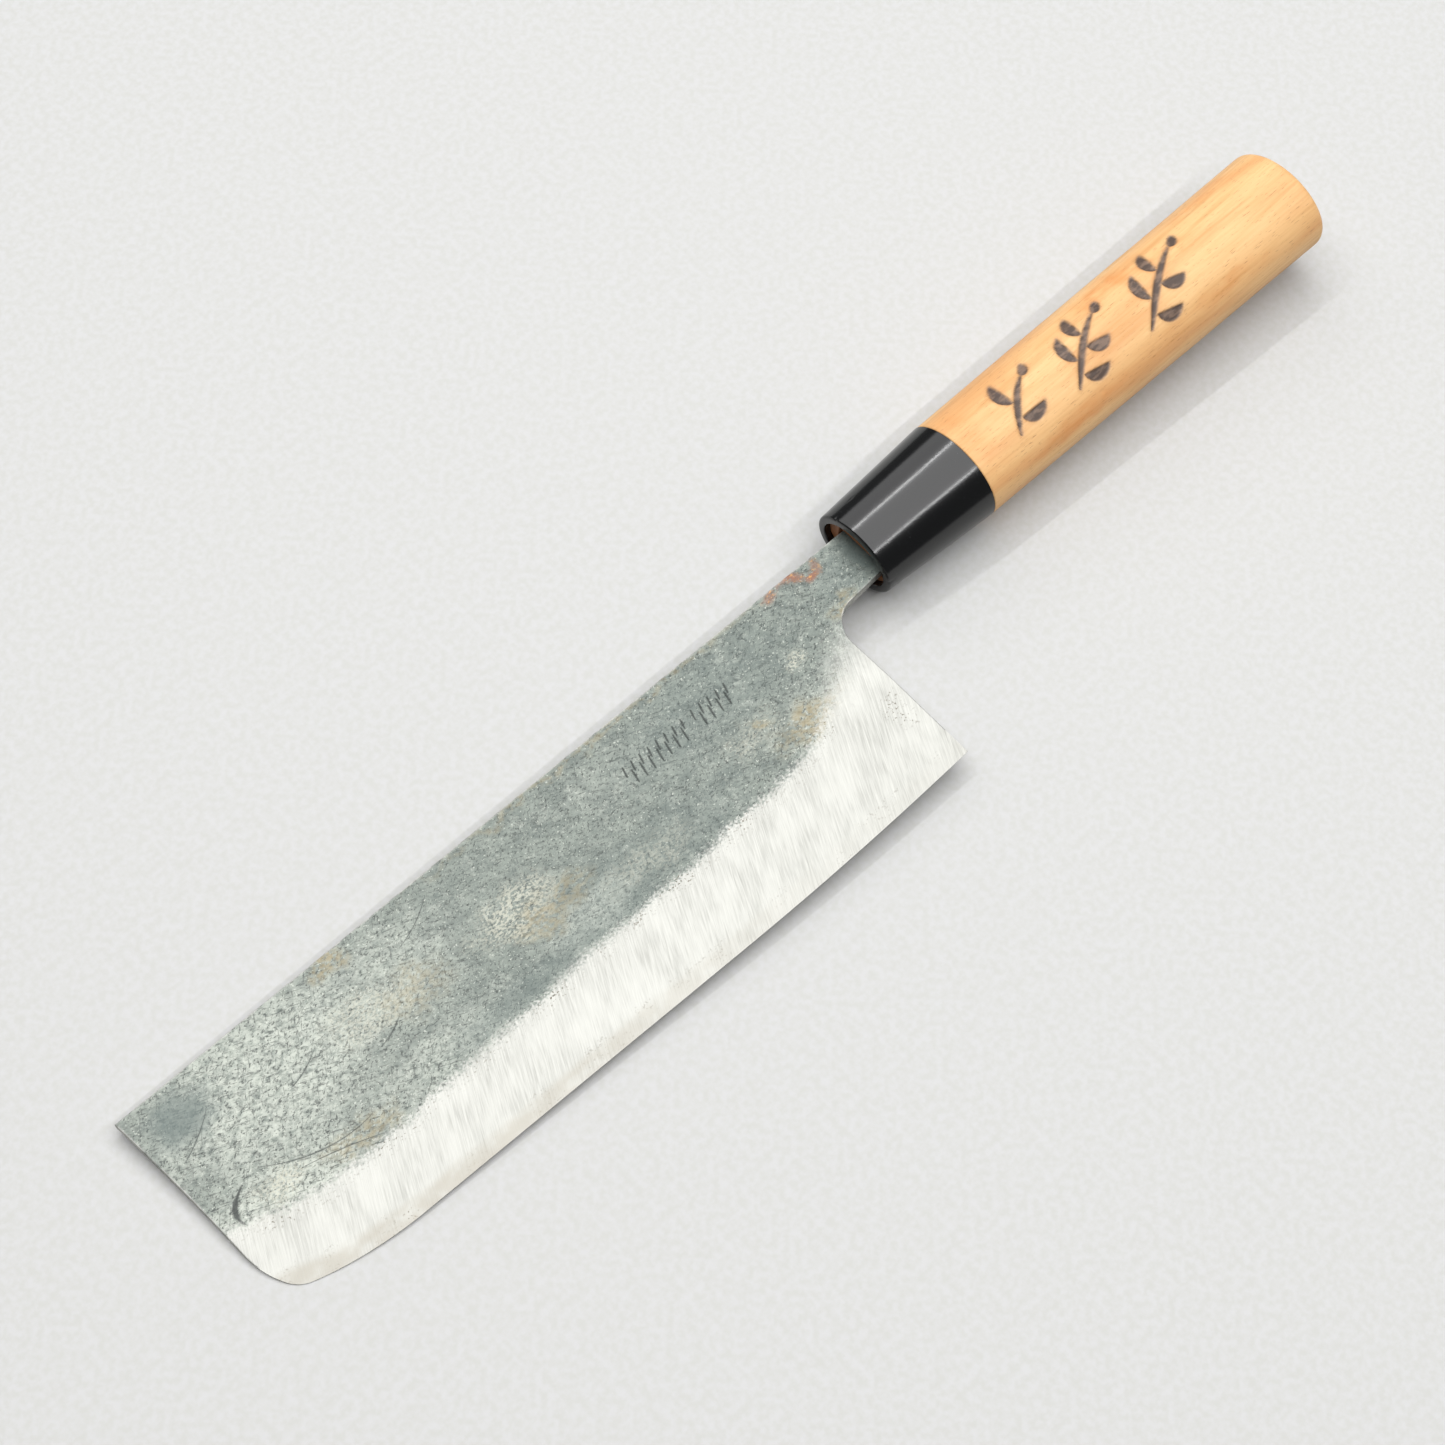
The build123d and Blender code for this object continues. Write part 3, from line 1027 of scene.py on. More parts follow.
@dataclass
class Blade:
    """The forged blade, its neck and its tang: a hard core between two layers of soft iron."""

    knife: Knife
    border: ScaleBorder = ScaleBorder()
    belly_length: float = 60.0  # heel corner to where the long flat stretch starts
    belly_drop: float = 0.1  # that stretch starts this far below the heel corner
    flat_angle: float = 2.0  # and rises at this angle, in degrees
    toe_length: float = 30.0  # its end to the spine's front corner
    toe_hops: tuple[tuple[float, float], ...] = ((-15.0, 1.88), (-7.5, 2.1))
    front_hops: tuple[tuple[float, float], ...] = ((-3.5, 2.9), (-2.4, 8.6))
    front_back: float = 1.1  # middle of the front edge behind the spine's front corner
    heel_lean: float = 0.9
    neck_drop: float = 1.0
    neck_radius: float = 6.5
    grind_angle: float = 3.9
    edge_land: float = 0.1
    edge_wear: float = 0.04  # lost from the cutting edge by use, save at its ends
    scratch_rows: tuple[float, ...] = (-0.34, -0.12, 0.0, 0.12, 0.34)
    clear: float = 60.0  # how far the grind runs on past the blade
    step: float = 0.42  # mesh spacing over the blade
    mark_step: float = 0.14  # and over the punched marks
    tang_step: float = 4.0
    insets: tuple[float, ...] = (0.05, 0.12, 0.22)  # loops that round the arris
    arris: float = 0.16
    shoulder: float = 0.02
    weld_wave: tuple[float, float] = (0.56, 13.0)  # how far the weld line strays, and how widely
    weld_run_out: float = 12.0  # it is drawn this far on past the toe
    weld_gap: float = 0.1  # and ends where it is this near the outline's own ends
    weld_inset: float = 0.2
    weld_sharp: float = 1.5  # the arris is left sharp this far above it
    hammer_waves: Waves = ((0.05, 21.0), (0.022, 6.5), (0.016, 1.7))  # hammer, scale and crust
    pit_depth: float = 0.05
    pit_size: float = 1.3
    stone_wave: tuple[float, float] = (0.012, 5.0)
    skin: float = 0.03  # room for the unevenness inside the blade's true thickness
    cut_side: float = 0.16  # width of the sloping sides of a scratch or a mark
    least_wall: float = 0.003
    rim_fade: tuple[float, float] = (0.1, 0.28)
    mark_rows: tuple[tuple[float, int], ...] = ((-52.3, 5), (-34.6, 3))  # first mark, how many
    mark_pitch: float = 3.2
    mark_lean: float = 0.6
    mark_width: float = 0.36
    mark_depth: float = 0.11
    mark_tiers: tuple[tuple[float, float], ...] = ((-9.2, -7.2), (-11.4, -8.6))
    mark_taper: float = 0.4
    mark_trace: float = 0.08  # spacing of the points along a bar
    mark_room: tuple[float, float] = (1.2, 0.5)  # fine mesh before the first mark and beside them

    def __post_init__(self) -> None:
        """Measures the CAD blade and draws its outline."""
        low, high = self.knife.span("core_steel")
        self.tip_x, self.edge_y, self.tang_x = low[0], low[1], high[0]
        self.mouth_x = self.knife.span("ferrule")[0][0]
        self.spine_y = self.knife.span("core_steel", self.tip_x)[1][1]
        neck_low, neck_high = self.knife.span("core_steel", self.mouth_x)
        tang_low, tang_high = self.knife.span("core_steel", self.tang_x)
        self.core_half = neck_high[2]
        halves = [
            self.knife.span("cladding_left", x)[1][2] for x in (self.tip_x, self.mouth_x, self.tang_x)
        ]
        self.half_stations = (self.tip_x, 0.0, self.mouth_x, self.tang_x)
        self.half_values = (halves[0], halves[1], halves[1], halves[2])
        self.slope = math.tan(math.radians(self.grind_angle))
        self.weld_depth = (self.core_half - self.edge_land / 2) / self.slope

        heel = np.array([0.0, self.knife.span("core_steel", 0.0)[0][1]])
        flat_start = heel - (self.belly_length, self.belly_drop)
        rising = math.radians(180 - self.flat_angle)
        direction = np.array([math.cos(rising), math.sin(rising)])
        flat_length = (self.tip_x + self.toe_length - flat_start[0]) / direction[0]
        flat_end = flat_start + direction * flat_length
        belly = Arc.leaving(flat_start, -direction, heel).points(self.step)[::-1]
        flat = straight(flat_start, flat_end, self.step)
        toe, self.toe_direction = self.follow(flat_end, direction, self.toe_hops)
        self.edge = np.vstack([belly[:-1], flat[:-1], toe])
        middling = np.sin(np.linspace(0, math.pi, len(self.edge)))
        self.edge[:, 1] += self.edge_wear * np.minimum(1, 4 * middling)
        ahead = self.edge[-1] + self.toe_direction * self.clear
        before = heel + (self.clear, 0)
        self.grind_line = np.vstack([before, self.edge[:-1:3], self.edge[-1], ahead])
        turn, _ = self.follow(self.edge[-1], self.toe_direction, self.front_hops)
        tip = (self.tip_x, self.spine_y)
        middle = (self.tip_x + self.front_back, (turn[-1][1] + self.spine_y) / 2)
        rise = Arc.through(turn[-1], middle, tip).points(self.step)
        self.front = np.vstack([turn[:-1], rise])
        neck_top, neck_foot = (self.mouth_x, neck_high[1]), (self.mouth_x, neck_low[1])
        inner = np.array([-self.heel_lean, neck_low[1] - self.neck_drop])
        self.back = [
            straight(tip, neck_top, self.step),
            straight(neck_top, (self.tang_x, tang_high[1]), self.tang_step),
            straight((self.tang_x, tang_high[1]), (self.tang_x, tang_low[1]), self.tang_step),
            straight((self.tang_x, tang_low[1]), neck_foot, self.tang_step),
        ]
        to_neck, to_heel = np.array(neck_foot) - inner, np.array(heel) - inner
        to_neck, to_heel = to_neck / np.linalg.norm(to_neck), to_heel / np.linalg.norm(to_heel)
        half_turn = math.acos(to_neck @ to_heel) / 2
        tangent = self.neck_radius / math.tan(half_turn)
        centre = inner + (to_neck + to_heel) / np.linalg.norm(to_neck + to_heel) * (
            self.neck_radius / math.sin(half_turn)
        )
        start, end = inner + to_neck * tangent, inner + to_heel * tangent
        fillet = Arc(centre, start, Arc.turn(centre, start, end)).points(self.step)
        self.back += [straight(neck_foot, start, self.step), fillet]
        self.heel_line = straight(end, heel, self.step)
        self.strokes = list(self.punched())

    def follow(
        self, start: np.ndarray, direction: np.ndarray, hops: Iterable[tuple[float, float]]
    ) -> tuple[np.ndarray, np.ndarray]:
        """Joins smooth arcs end to end.

        Args:
            start: Where the first starts.
            direction: The direction that it leaves in.
            hops: From the start of each arc to its end.

        Returns:
            Points along the arcs, and the direction at their end.
        """
        runs = []
        for hop in hops:
            arc = Arc.leaving(start, direction, start + hop)
            runs.append(arc.points(self.step)[:-1])
            start, direction = start + hop, arc.direction()
        return np.vstack([*runs, [start]]), direction

    def punched(self) -> Iterable[Stroke]:
        """Draws the row of small punched marks: slanted bars in two staggered tiers."""
        for first, count in self.mark_rows:
            for place in range(3 * count):
                low, high = self.mark_tiers[place % 2]
                x = first + place * self.mark_pitch / 3
                bar = straight((x, low), (x + self.mark_lean, high), self.mark_trace)
                yield Stroke(bar, self.mark_width, self.mark_depth, self.mark_taper)

    def outline(self, lower: np.ndarray, last: np.ndarray, front: np.ndarray) -> Contour:
        """Joins the outline of a layer.

        Args:
            lower: Its lower side, from the heel to the toe.
            last: The heel line, down to the lower side.
            front: The front edge, up from the lower side.

        Returns:
            The whole outline, with the neck and the tang.
        """
        return Contour(np.vstack([run[:-1] for run in (lower, front, *self.back, last)]))

    def grind_depth(self, points: np.ndarray) -> np.ndarray:
        """Distance of each point from the cutting edge."""
        return distance_to_path(points, self.grind_line)

    def weld(self, points: np.ndarray, side: Side) -> np.ndarray:
        """Distance of the weld line from the cutting edge, which wanders along the blade."""
        far, wide = self.weld_wave
        return self.weld_depth + far * ripple(points, wide, 2.5 * side.value)

    def flat(self, points: np.ndarray) -> np.ndarray:
        """Half the blade's thickness above the grind."""
        return np.interp(points[:, 0], self.half_stations, self.half_values)

    def surface(self, points: np.ndarray, depth: np.ndarray, side: Side) -> np.ndarray:
        """Height of a face of the blade above its middle plane.

        Args:
            points: Rows of X and Y.
            depth: Their distance from the cutting edge.
            side: Which face.

        Returns:
            One height per point.
        """
        seed = 7.0 * side.value
        pits = self.pit_depth * ease(ripple(points, self.pit_size, seed + 3), 0.36, 0.6)
        flat = self.flat(points) - self.skin + uneven(points, self.hammer_waves, seed) - pits
        height, size = self.stone_wave
        stone = height * ripple(points * (1.0, 0.35), size, seed + 4)
        bevel = self.edge_land / 2 + self.slope * depth + stone * ease(depth, 0, 6)
        return smooth_min(flat, bevel, self.shoulder)

    def inner_points(self, contour: Contour, finest: np.ndarray, reach: float) -> np.ndarray:
        """Spreads mesh points over the blade and neck.

        Args:
            contour: The layer's outline.
            finest: Points wanted as they are, where there are marks.
            reach: How far from the cutting edge the even mesh goes.

        Returns:
            The points, all inside the outline.
        """
        rows = np.arange(self.edge_y, self.spine_y, self.step * 0.87)
        columns = np.arange(self.tip_x, self.mouth_x + 4, self.step)
        shifts = [self.step / 2 * (row % 2) for row in range(len(rows))]
        even = np.array([(x + shift, y) for shift, y in zip(shifts, rows) for x in columns])
        even = even[self.grind_depth(even) < reach]
        even = even[contour.depth(even) > self.insets[-1] + self.step * 0.45]
        if len(finest):
            tree = KDTree(len(finest))
            for index, point in enumerate(finest):
                tree.insert((*point, 0), index)
            tree.balance()
            far = [tree.find((*point, 0))[2] > self.step * 0.6 for point in even]
            even = even[np.array(far)]
        loops = [contour.inset(distance) for distance in self.insets]
        near = np.vstack([loop[loop[:, 0] < self.mouth_x + 2] for loop in loops])
        near = near[contour.depth(near) > self.insets[0] * 0.9]
        return np.vstack([even, near, *([finest] if len(finest) else [])])

    def weld_contour(self, side: Side) -> Contour:
        """The outline of a layer of soft iron, whose lower side is the weld line.

        Args:
            side: The face that the layer covers.

        Returns:
            The whole outline, with the neck and the tang.
        """
        toe = self.edge[-1]
        run_out = straight(toe, toe + self.toe_direction * self.weld_run_out, self.step)
        edge = np.vstack([self.edge, run_out[1:]])
        along = np.gradient(edge, axis=0)
        normal = np.stack([along[:, 1], -along[:, 0]], 1) / np.linalg.norm(along, axis=1)[:, None]
        wanted = self.weld(edge + normal * self.weld_depth, side)
        weld = edge + normal * wanted[:, None]
        above = [
            line[self.grind_depth(line) > self.weld(line, side) + self.weld_gap]
            for line in (self.front, self.heel_line)
        ]
        foot, head = self.heel_line[-1], self.heel_line[0]
        heel_end = head + (foot - head) * (weld[0][1] - head[1]) / (foot[1] - head[1])
        full = self.outline(self.edge, self.heel_line, self.front)
        inside = (full.depth(weld) > self.weld_inset) & (weld[:, 0] < heel_end[0] - self.weld_gap)
        lower = np.vstack([[heel_end], weld[inside], above[0][:1]])
        return self.outline(lower, np.vstack([above[1], [heel_end]]), above[0])

    def fine_points(self, side: Side, scratches: Sequence[Stroke]) -> np.ndarray:
        """Mesh points wanted as they are, over the punched marks and along the scratches.

        Args:
            side: Which face; only the left has marks.
            scratches: The face's scratches.

        Returns:
            Rows of X and Y.
        """
        before, beside = self.mark_room
        low, high = min(self.mark_tiers[1]) - beside, max(self.mark_tiers[0]) + beside
        rows = np.arange(low, high, self.mark_step)
        finest = []
        for first, count in self.mark_rows if side is Side.LEFT else ():
            last = first + count * self.mark_pitch
            for x in np.arange(first - before, last, self.mark_step):
                finest.append(np.column_stack([np.full(len(rows), x), rows]))
        for scratch in scratches:
            along = np.gradient(scratch.path, axis=0)
            across = np.stack([-along[:, 1], along[:, 0]], 1)
            across /= np.linalg.norm(along, axis=1)[:, None]
            for offset in self.scratch_rows:
                finest.append((scratch.path + across * offset)[::2])
        return np.vstack(finest)

    def layer(self, side: Side) -> tuple[Form, dict[str, np.ndarray]]:
        """Builds a layer of soft iron.

        Args:
            side: The face that it covers.

        Returns:
            Its form, and one value per vertex for each mark.
        """
        scratches = SCRATCHES[side]
        contour = self.weld_contour(side)
        count = len(contour.points)
        inner = self.inner_points(contour, self.fine_points(side, scratches), np.inf)
        points, faces = contour.plan(inner)
        depth = self.grind_depth(points)
        cut = np.zeros(len(points))
        scratched = np.zeros(len(points))
        for stroke in [*scratches, *(self.strokes if side is Side.LEFT else [])]:
            cover = stroke.cover(points, self.cut_side)
            cut = np.maximum(cut, cover * stroke.depth)
            scratched = np.maximum(scratched, cover)
        rim = contour.depth(points)
        rim[:count] = 0
        round_off = np.clip(self.arris - rim, 0, self.arris)
        lost = self.arris - np.sqrt(self.arris**2 - round_off**2)
        on_weld = depth < self.weld_depth + self.weld_sharp
        height = self.surface(points, depth, side) - cut - np.where(on_weld, 0, lost)
        inside = self.edge_land / 2 + self.slope * self.weld(contour.points, side)
        inside = np.minimum(inside, height[:count] - self.least_wall)

        form = Form()
        outer = form.add(np.column_stack([points, height * side.value]))
        form.faces += [[outer + v for v in face] for face in faces]
        back = form.add(np.column_stack([contour.points, inside * side.value]))
        form.faces += [[back + v for v in face] for face in contour.plan(np.zeros((0, 2)))[1]]
        form.bridge(outer, back, count)

        every = np.vstack([points, contour.points])
        full = (self.flat(every) - self.edge_land / 2) / self.slope
        above = full - np.concatenate([depth, depth[:count]])
        marks = self.border.marks(every, above, SPOTS[side], 40.0 + side.value)
        marks["scratch"] = np.concatenate([scratched, np.zeros(count)])
        marks["rim"] = 1 - ease(np.concatenate([rim, np.zeros(count)]), *self.rim_fade)
        return form, marks

    def core(self) -> tuple[Form, dict[str, np.ndarray]]:
        """Builds the hard core, bare along the cutting edge and hidden above it.

        Returns:
            Its form, and one value per vertex for each mark.
        """
        contour = self.outline(self.edge, self.heel_line, self.front)
        inner = self.inner_points(contour, np.zeros((0, 2)), self.weld_depth + 2)
        points, faces = contour.plan(inner)
        depth = self.grind_depth(points)
        form = Form()
        starts = []
        for side in Side:
            hidden = self.edge_land / 2 + self.slope * self.weld(points, side)
            height = np.minimum(self.surface(points, depth, side), hidden)
            starts.append(form.add(np.column_stack([points, height * side.value])))
            form.faces += [[starts[-1] + v for v in face] for face in faces]
        form.bridge(*starts, len(contour.points))
        pitted = 0.35 * ease(ripple(points, 6, 50.0), 0.15, 0.4)
        nick = Spot(self.tip_x + 28, self.edge_y + 4.5, 2.5, 1.5).cover(points)
        towards_toe = 1 - 0.85 * ease(points[:, 0], -120, -30)
        below_weld = 1 - ease(depth - self.weld(points, Side.LEFT), -2.2, -0.2)
        marks = {"pitted": np.maximum(pitted, nick), "tarnish": towards_toe * below_weld}
        return form, {mark: np.tile(values, 2) for mark, values in marks.items()}

    def build(self, iron: bpy.types.Material, steel: bpy.types.Material) -> list[bpy.types.Object]:
        """Builds the three layers.

        Args:
            iron: Finish of the soft layers.
            steel: Finish of the core.

        Returns:
            The new pieces.
        """
        form, marks = self.core()
        node = "core_steel"
        pieces = [make_piece("blade_core", form, self.knife, node, steel, marks)]
        for side, node in ((Side.LEFT, "cladding_left"), (Side.RIGHT, "cladding_right")):
            form, marks = self.layer(side)
            name = "blade_" + node
            pieces.append(make_piece(name, form, self.knife, node, iron, marks))
        return pieces


SCRATCHES = {
    Side.LEFT: [
        Stroke(bent((-151.0, -20.5), (-141.0, -27.5), (-130.5, -26.4)), 0.22, 0.03, 0.8),
        Stroke(bent((-146.0, -25.5), (-139.0, -27.0), (-131.0, -30.5)), 0.18, 0.02, 0.9),
        Stroke(bent((-160.5, -11.0), (-156.0, -9.5), (-151.5, -6.0)), 0.16, 0.02, 0.8),
        Stroke(bent((-106.0, -6.0), (-101.0, -5.0), (-96.5, -1.8)), 0.16, 0.02, 0.8),
        Stroke(bent((-137.5, -13.0), (-134.0, -12.6), (-130.5, -10.5)), 0.2, 0.03, 0.8),
        Stroke(bent((-159.5, -27.0), (-161.5, -23.0), (-155.0, -20.6)), 0.9, 0.03, 1.0),
        Stroke(bent((-121.0, -18.0), (-118.0, -17.8), (-115.0, -16.0)), 0.24, 0.03, 0.8),
    ],
    Side.RIGHT: [
        Stroke(bent((-120.0, -8.0), (-108.0, -11.0), (-96.0, -9.0)), 0.2, 0.03, 0.8),
        Stroke(bent((-62.0, -20.0), (-55.0, -18.0), (-44.0, -19.5)), 0.2, 0.03, 0.8),
        Stroke(bent((-30.0, -5.0), (-24.0, -9.0), (-15.0, -10.0)), 0.2, 0.03, 0.8),
    ],
}

SPOTS = {
    Side.LEFT: {
        "pale": [
            Spot(-140, -9, 34, 22, 0.9),
            Spot(-152, -28, 26, 12, 1.0),
            Spot(-114, -9, 24, 15, 0.55),
            Spot(-118, -27, 26, 9, 0.6),
            Spot(-76, -25, 16, 6, 0.6),
            Spot(-55, -6, 14, 7, 0.2),
            Spot(-12, -26, 16, 10, 0.6),
        ],
        "worn": [
            Spot(-86, -15, 13, 7, 0.7),
            Spot(-118, -12, 13, 7, 0.5),
            Spot(-12.5, -12.5, 3.6, 2.6, 0.9),
            Spot(-150, -25, 7, 4, 0.8),
            Spot(-28, -19, 8, 5, 0.35),
            Spot(-60, -24, 14, 5, 0.45),
        ],
        "stain": [
            Spot(-118, 0.5, 5, 4, 1.0),
            Spot(-80, -19, 12, 5, 0.7),
            Spot(-110, -14, 10, 6, 0.45),
            Spot(-134, -28, 12, 3.5, 0.7),
            Spot(-160, -29, 6, 3, 1.0),
            Spot(-26, -18, 2.2, 2.2, 1.0),
            Spot(-17, -24, 13, 4.5, 0.9),
            Spot(4, -11, 6, 3, 0.8),
            Spot(-50, 1, 60, 1.4, 0.5),
        ],
        "rust": [Spot(-1.5, 0.6, 6.5, 2.2, 1.0), Spot(4.0, -1.4, 2.8, 2.2, 1.0)],
        # Dark smooth scale; the spots at stations 9 and 14 are painted shade on the neck against the
        # collar.
        "soot_and_shade": [
            Spot(-156, -4, 9, 7, 0.9),
            Spot(9, -5, 10, 10, 0.3),
            Spot(14, -5, 4.5, 9, 1.0),
            Spot(-60, -24, 34, 9, 0.35),
            Spot(-30, -8, 34, 12, 0.3),
        ],
        "pits": [Spot(-4.5, -34, 3.5, 5.5, 0.9)],
    },
    Side.RIGHT: {
        "pale": [Spot(-130, -12, 40, 20, 0.8), Spot(-40, -14, 26, 14, 0.5)],
        "worn": [Spot(-60, -14, 20, 8, 0.8), Spot(-130, -16, 16, 9, 0.6), Spot(-15, -12, 8, 6, 0.4)],
        "stain": [Spot(-95, -4, 12, 6, 0.7), Spot(-40, -22, 14, 5, 0.6), Spot(-150, -20, 8, 6, 0.6)],
        "rust": [Spot(2, -6, 5, 4, 0.8)],
        # The spot at station 14 is painted shade on the neck against the collar.
        "soot_and_shade": [Spot(-25, -8, 18, 9, 0.7), Spot(-110, -20, 26, 7, 0.5), Spot(14, -5, 4.5, 9, 1.0)],
        "pits": [Spot(-100, -36, 6, 4, 0.7)],
    },
}


# ---------------------------------------------------------------- handle


@dataclass
class Oval:
    """The oval section of the handle at any station."""

    grip_y: float
    stations: tuple[float, ...]
    tall: tuple[float, ...]  # half height at each station
    thick: tuple[float, ...]  # half thickness at each station
    count: int = 264

    def ring(self, x: float, inset: float = 0.0, x_section: float | None = None) -> np.ndarray:
        """Points round the section.

        Args:
            x: Where the ring stands.
            inset: How far inside the section it runs.
            x_section: Station whose section it takes, where that isn't x.

        Returns:
            Rows of X, Y and Z, from the spine side and round over the left side.
        """
        at = x if x_section is None else x_section
        tall, thick = (np.interp(at, self.stations, s) - inset for s in (self.tall, self.thick))
        turn = np.arange(self.count) / self.count * 2 * math.pi
        y, z = self.grip_y + tall * np.cos(turn), thick * np.sin(turn)
        return np.column_stack([np.full(self.count, x), y, z])


@dataclass
class Handle:
    """The oval wooden grip, its tenon and the slot that the tang goes into."""

    knife: Knife
    butt_radius: float = 2.0
    slot_half: float = 1.9
    slot_gap: float = 0.8
    joint_chamfer: float = 0.2
    fine_step: float = 0.36
    coarse_step: float = 0.9
    ornament: tuple[float, float] = (51.0, 112.0)
    stems: tuple[tuple[tuple[float, float], tuple[float, float], int], ...] = (
        ((53.5, -5.6), (62.5, 3.4), 1),
        ((70.0, -6.2), (84.0, 4.0), 2),
        ((91.0, -6.4), (107.5, 4.4), 2),
    )
    leaf_length: float = 7.2
    leaf_width: float = 2.5
    stem_width: float = 1.4
    stem_bow: float = 1.8
    bud_width: float = 2.0
    burn_depth: float = 0.32
    burn_side: float = 0.45  # width of a burn's sloping sides
    scorch_reach: float = 2.2
    skin: float = 0.07  # room for the wood's unevenness inside its true size
    waves: Waves = ((0.05, 16.0), (0.02, 5.0))
    girth: tuple[float, float, float] = (12.0, 9.8, 10.9)  # half height, half thickness, radius
    slot_stations: tuple[float, ...] = (60.0, 22.0, 18.0)
    slot_lip: float = 0.12  # the slot widens by this much at its mouth
    lip_depth: float = 0.15
    face_shares: tuple[float, ...] = (0.25, 0.5, 0.75, 0.93)  # rings over the tenon's end
    tenon_round: tuple[tuple[float, float], ...] = ((0.1, 0.02), (0.5, 0.0))
    tenon_start: float = 2.0
    tenon_step: float = 4.0
    butt_insets: tuple[float, ...] = (0.6, 1.6, 3.2, 5.2, 6.9)  # rings over the butt's flat face

    def __post_init__(self) -> None:
        """Measures the CAD handle."""
        low, high = self.knife.span("handle")
        self.tenon_x, self.butt_x = low[0], high[0]
        self.grip_y = (low[1] + high[1]) / 2
        self.collar_x = self.knife.span("ferrule")[1][0]
        tenon = self.knife.span("handle", self.tenon_x)[1]
        front = self.knife.span("handle", self.collar_x)[1]
        self.tenon = Oval(self.grip_y, (0.0, 1.0), (tenon[1] - self.grip_y,) * 2, (tenon[2],) * 2)
        full = self.butt_x - self.collar_x
        past = full / (full - self.butt_radius)
        tall = front[1] - self.grip_y, high[1] - self.grip_y
        thick = front[2], high[2]
        ends = [side[0] + (side[1] - side[0]) * past for side in (tall, thick)]
        self.grip = Oval(
            self.grip_y, (self.collar_x, self.butt_x), (tall[0], ends[0]), (thick[0], ends[1])
        )
        self.tang = [self.knife.span("core_steel", x) for x in (self.blade_mouth(), self.tang_x())]
        self.slot_end = self.knife.span("tang_bedding")[1][0]

    def blade_mouth(self) -> float:
        """Station of the collar's mouth."""
        return self.knife.span("ferrule")[0][0]

    def tang_x(self) -> float:
        """Station of the tang's end."""
        return self.knife.span("core_steel")[1][0]

    def slot_ring(self, x: float, half: float, gap: float) -> np.ndarray:
        """Points round the tang's own slot, each on the same ray from the axis as on an oval.

        Args:
            x: Where the ring stands.
            half: Half the slot's width.
            gap: Room above and below the tang.

        Returns:
            Rows of X, Y and Z.
        """
        stations = (self.blade_mouth(), self.tang_x())
        top = np.interp(x, stations, [t[1][1] for t in self.tang]) + gap
        low = np.interp(x, stations, [t[0][1] for t in self.tang]) - gap
        oval = self.tenon.ring(x)
        ray = oval[:, 1:] - (self.grip_y, 0)
        up = np.where(ray[:, 0] > 0, top - self.grip_y, low - self.grip_y)
        to_level = up / np.where(ray[:, 0] == 0, 1e-9, ray[:, 0])
        to_wall = half / np.maximum(abs(ray[:, 1]), 1e-9)
        hit = ray * np.minimum(to_level, to_wall)[:, None] + (self.grip_y, 0)
        for y in (top, low):
            for z in (half, -half):
                nearest = np.argmin(np.hypot(hit[:, 0] - y, hit[:, 1] - z))
                hit[nearest] = (y, z)
        return np.column_stack([oval[:, 0], hit])

    def sprigs(self) -> Iterable[Stroke]:
        """Draws the burned ornament: three sprigs of leaves, each stroke fat in its middle.

        Coordinates are the station along the grip and the distance round it from its left side,
        positive towards the spine.
        """
        for start, end, pairs in self.stems:
            a, b = np.array(start), np.array(end)
            run = (b - a) / np.linalg.norm(b - a)
            across = np.array([-run[1], run[0]])
            stem = bent(a, (a + b) / 2 + across * self.stem_bow, b)
            yield Stroke(stem, self.stem_width, self.burn_depth, 0.7)
            for pair in range(pairs):
                for lean in (1, -1):
                    share = (pair + 0.75 + 0.2 * lean) / (pairs + 0.9)
                    root = stem[int(share * len(stem))]
                    reach = self.leaf_length * (1 - 0.12 * pair)
                    side = across * lean * reach
                    tip = root + run * reach * 0.6 + side * 0.75
                    bend = root + run * reach * 0.02 + side * 0.6
                    leaf = bent(root + side * 0.12, bend, tip)
                    yield Stroke(leaf, self.leaf_width, self.burn_depth, 0.95)
            bud = bent(b + run * 0.4, b + run * 1.6 - across, b + run * 3.2)
            yield Stroke(bud, self.bud_width, self.burn_depth, 0.9)

    def build(self, wood: bpy.types.Material) -> bpy.types.Object:
        """Builds the handle.

        Args:
            wood: Its finish.

        Returns:
            The new piece.
        """
        step, fine = self.coarse_step, self.fine_step
        first, last = self.ornament
        body_end = self.butt_x - self.butt_radius
        body = np.concatenate([
            steps(self.collar_x + self.joint_chamfer, first, step)[:-1],
            steps(first, last, fine)[:-1],
            steps(last, body_end, step),
        ])
        turns = np.linspace(0, math.pi / 2, 9)[1:]
        slot = (self.slot_end, *self.slot_stations, self.tenon_x + self.lip_depth)
        tenon = steps(self.tenon_x + self.tenon_start, self.collar_x, self.tenon_step)
        rings = [self.slot_ring(x, self.slot_half, self.slot_gap) for x in slot]
        rings += [self.tenon_face(share) for share in (0.0, *self.face_shares)]
        rings += [self.tenon.ring(self.tenon_x + x, inset) for x, inset in self.tenon_round]
        rings += [self.tenon.ring(x) for x in tenon]
        rings.append(self.grip.ring(self.collar_x, self.joint_chamfer + self.skin))
        rings += [self.grip.ring(x, self.skin) for x in body]
        for turn in turns:
            x = body_end + self.butt_radius * math.sin(turn)
            inset = self.butt_radius * (1 - math.cos(turn)) + self.skin
            rings.append(self.grip.ring(x - self.skin * math.sin(turn), inset, x))
        face_x = self.butt_x - self.skin
        rings += [self.grip.ring(face_x, self.butt_radius + inset) for inset in self.butt_insets]
        form = Form()
        form.rings(rings)
        points = np.vstack(form.vertices)
        marks = self.wear(points, len(rings))
        form.vertices = [points + marks.pop("shift")[:, None] * self.outward(points)]
        return make_piece("handle_grip", form, self.knife, "handle", wood, marks)

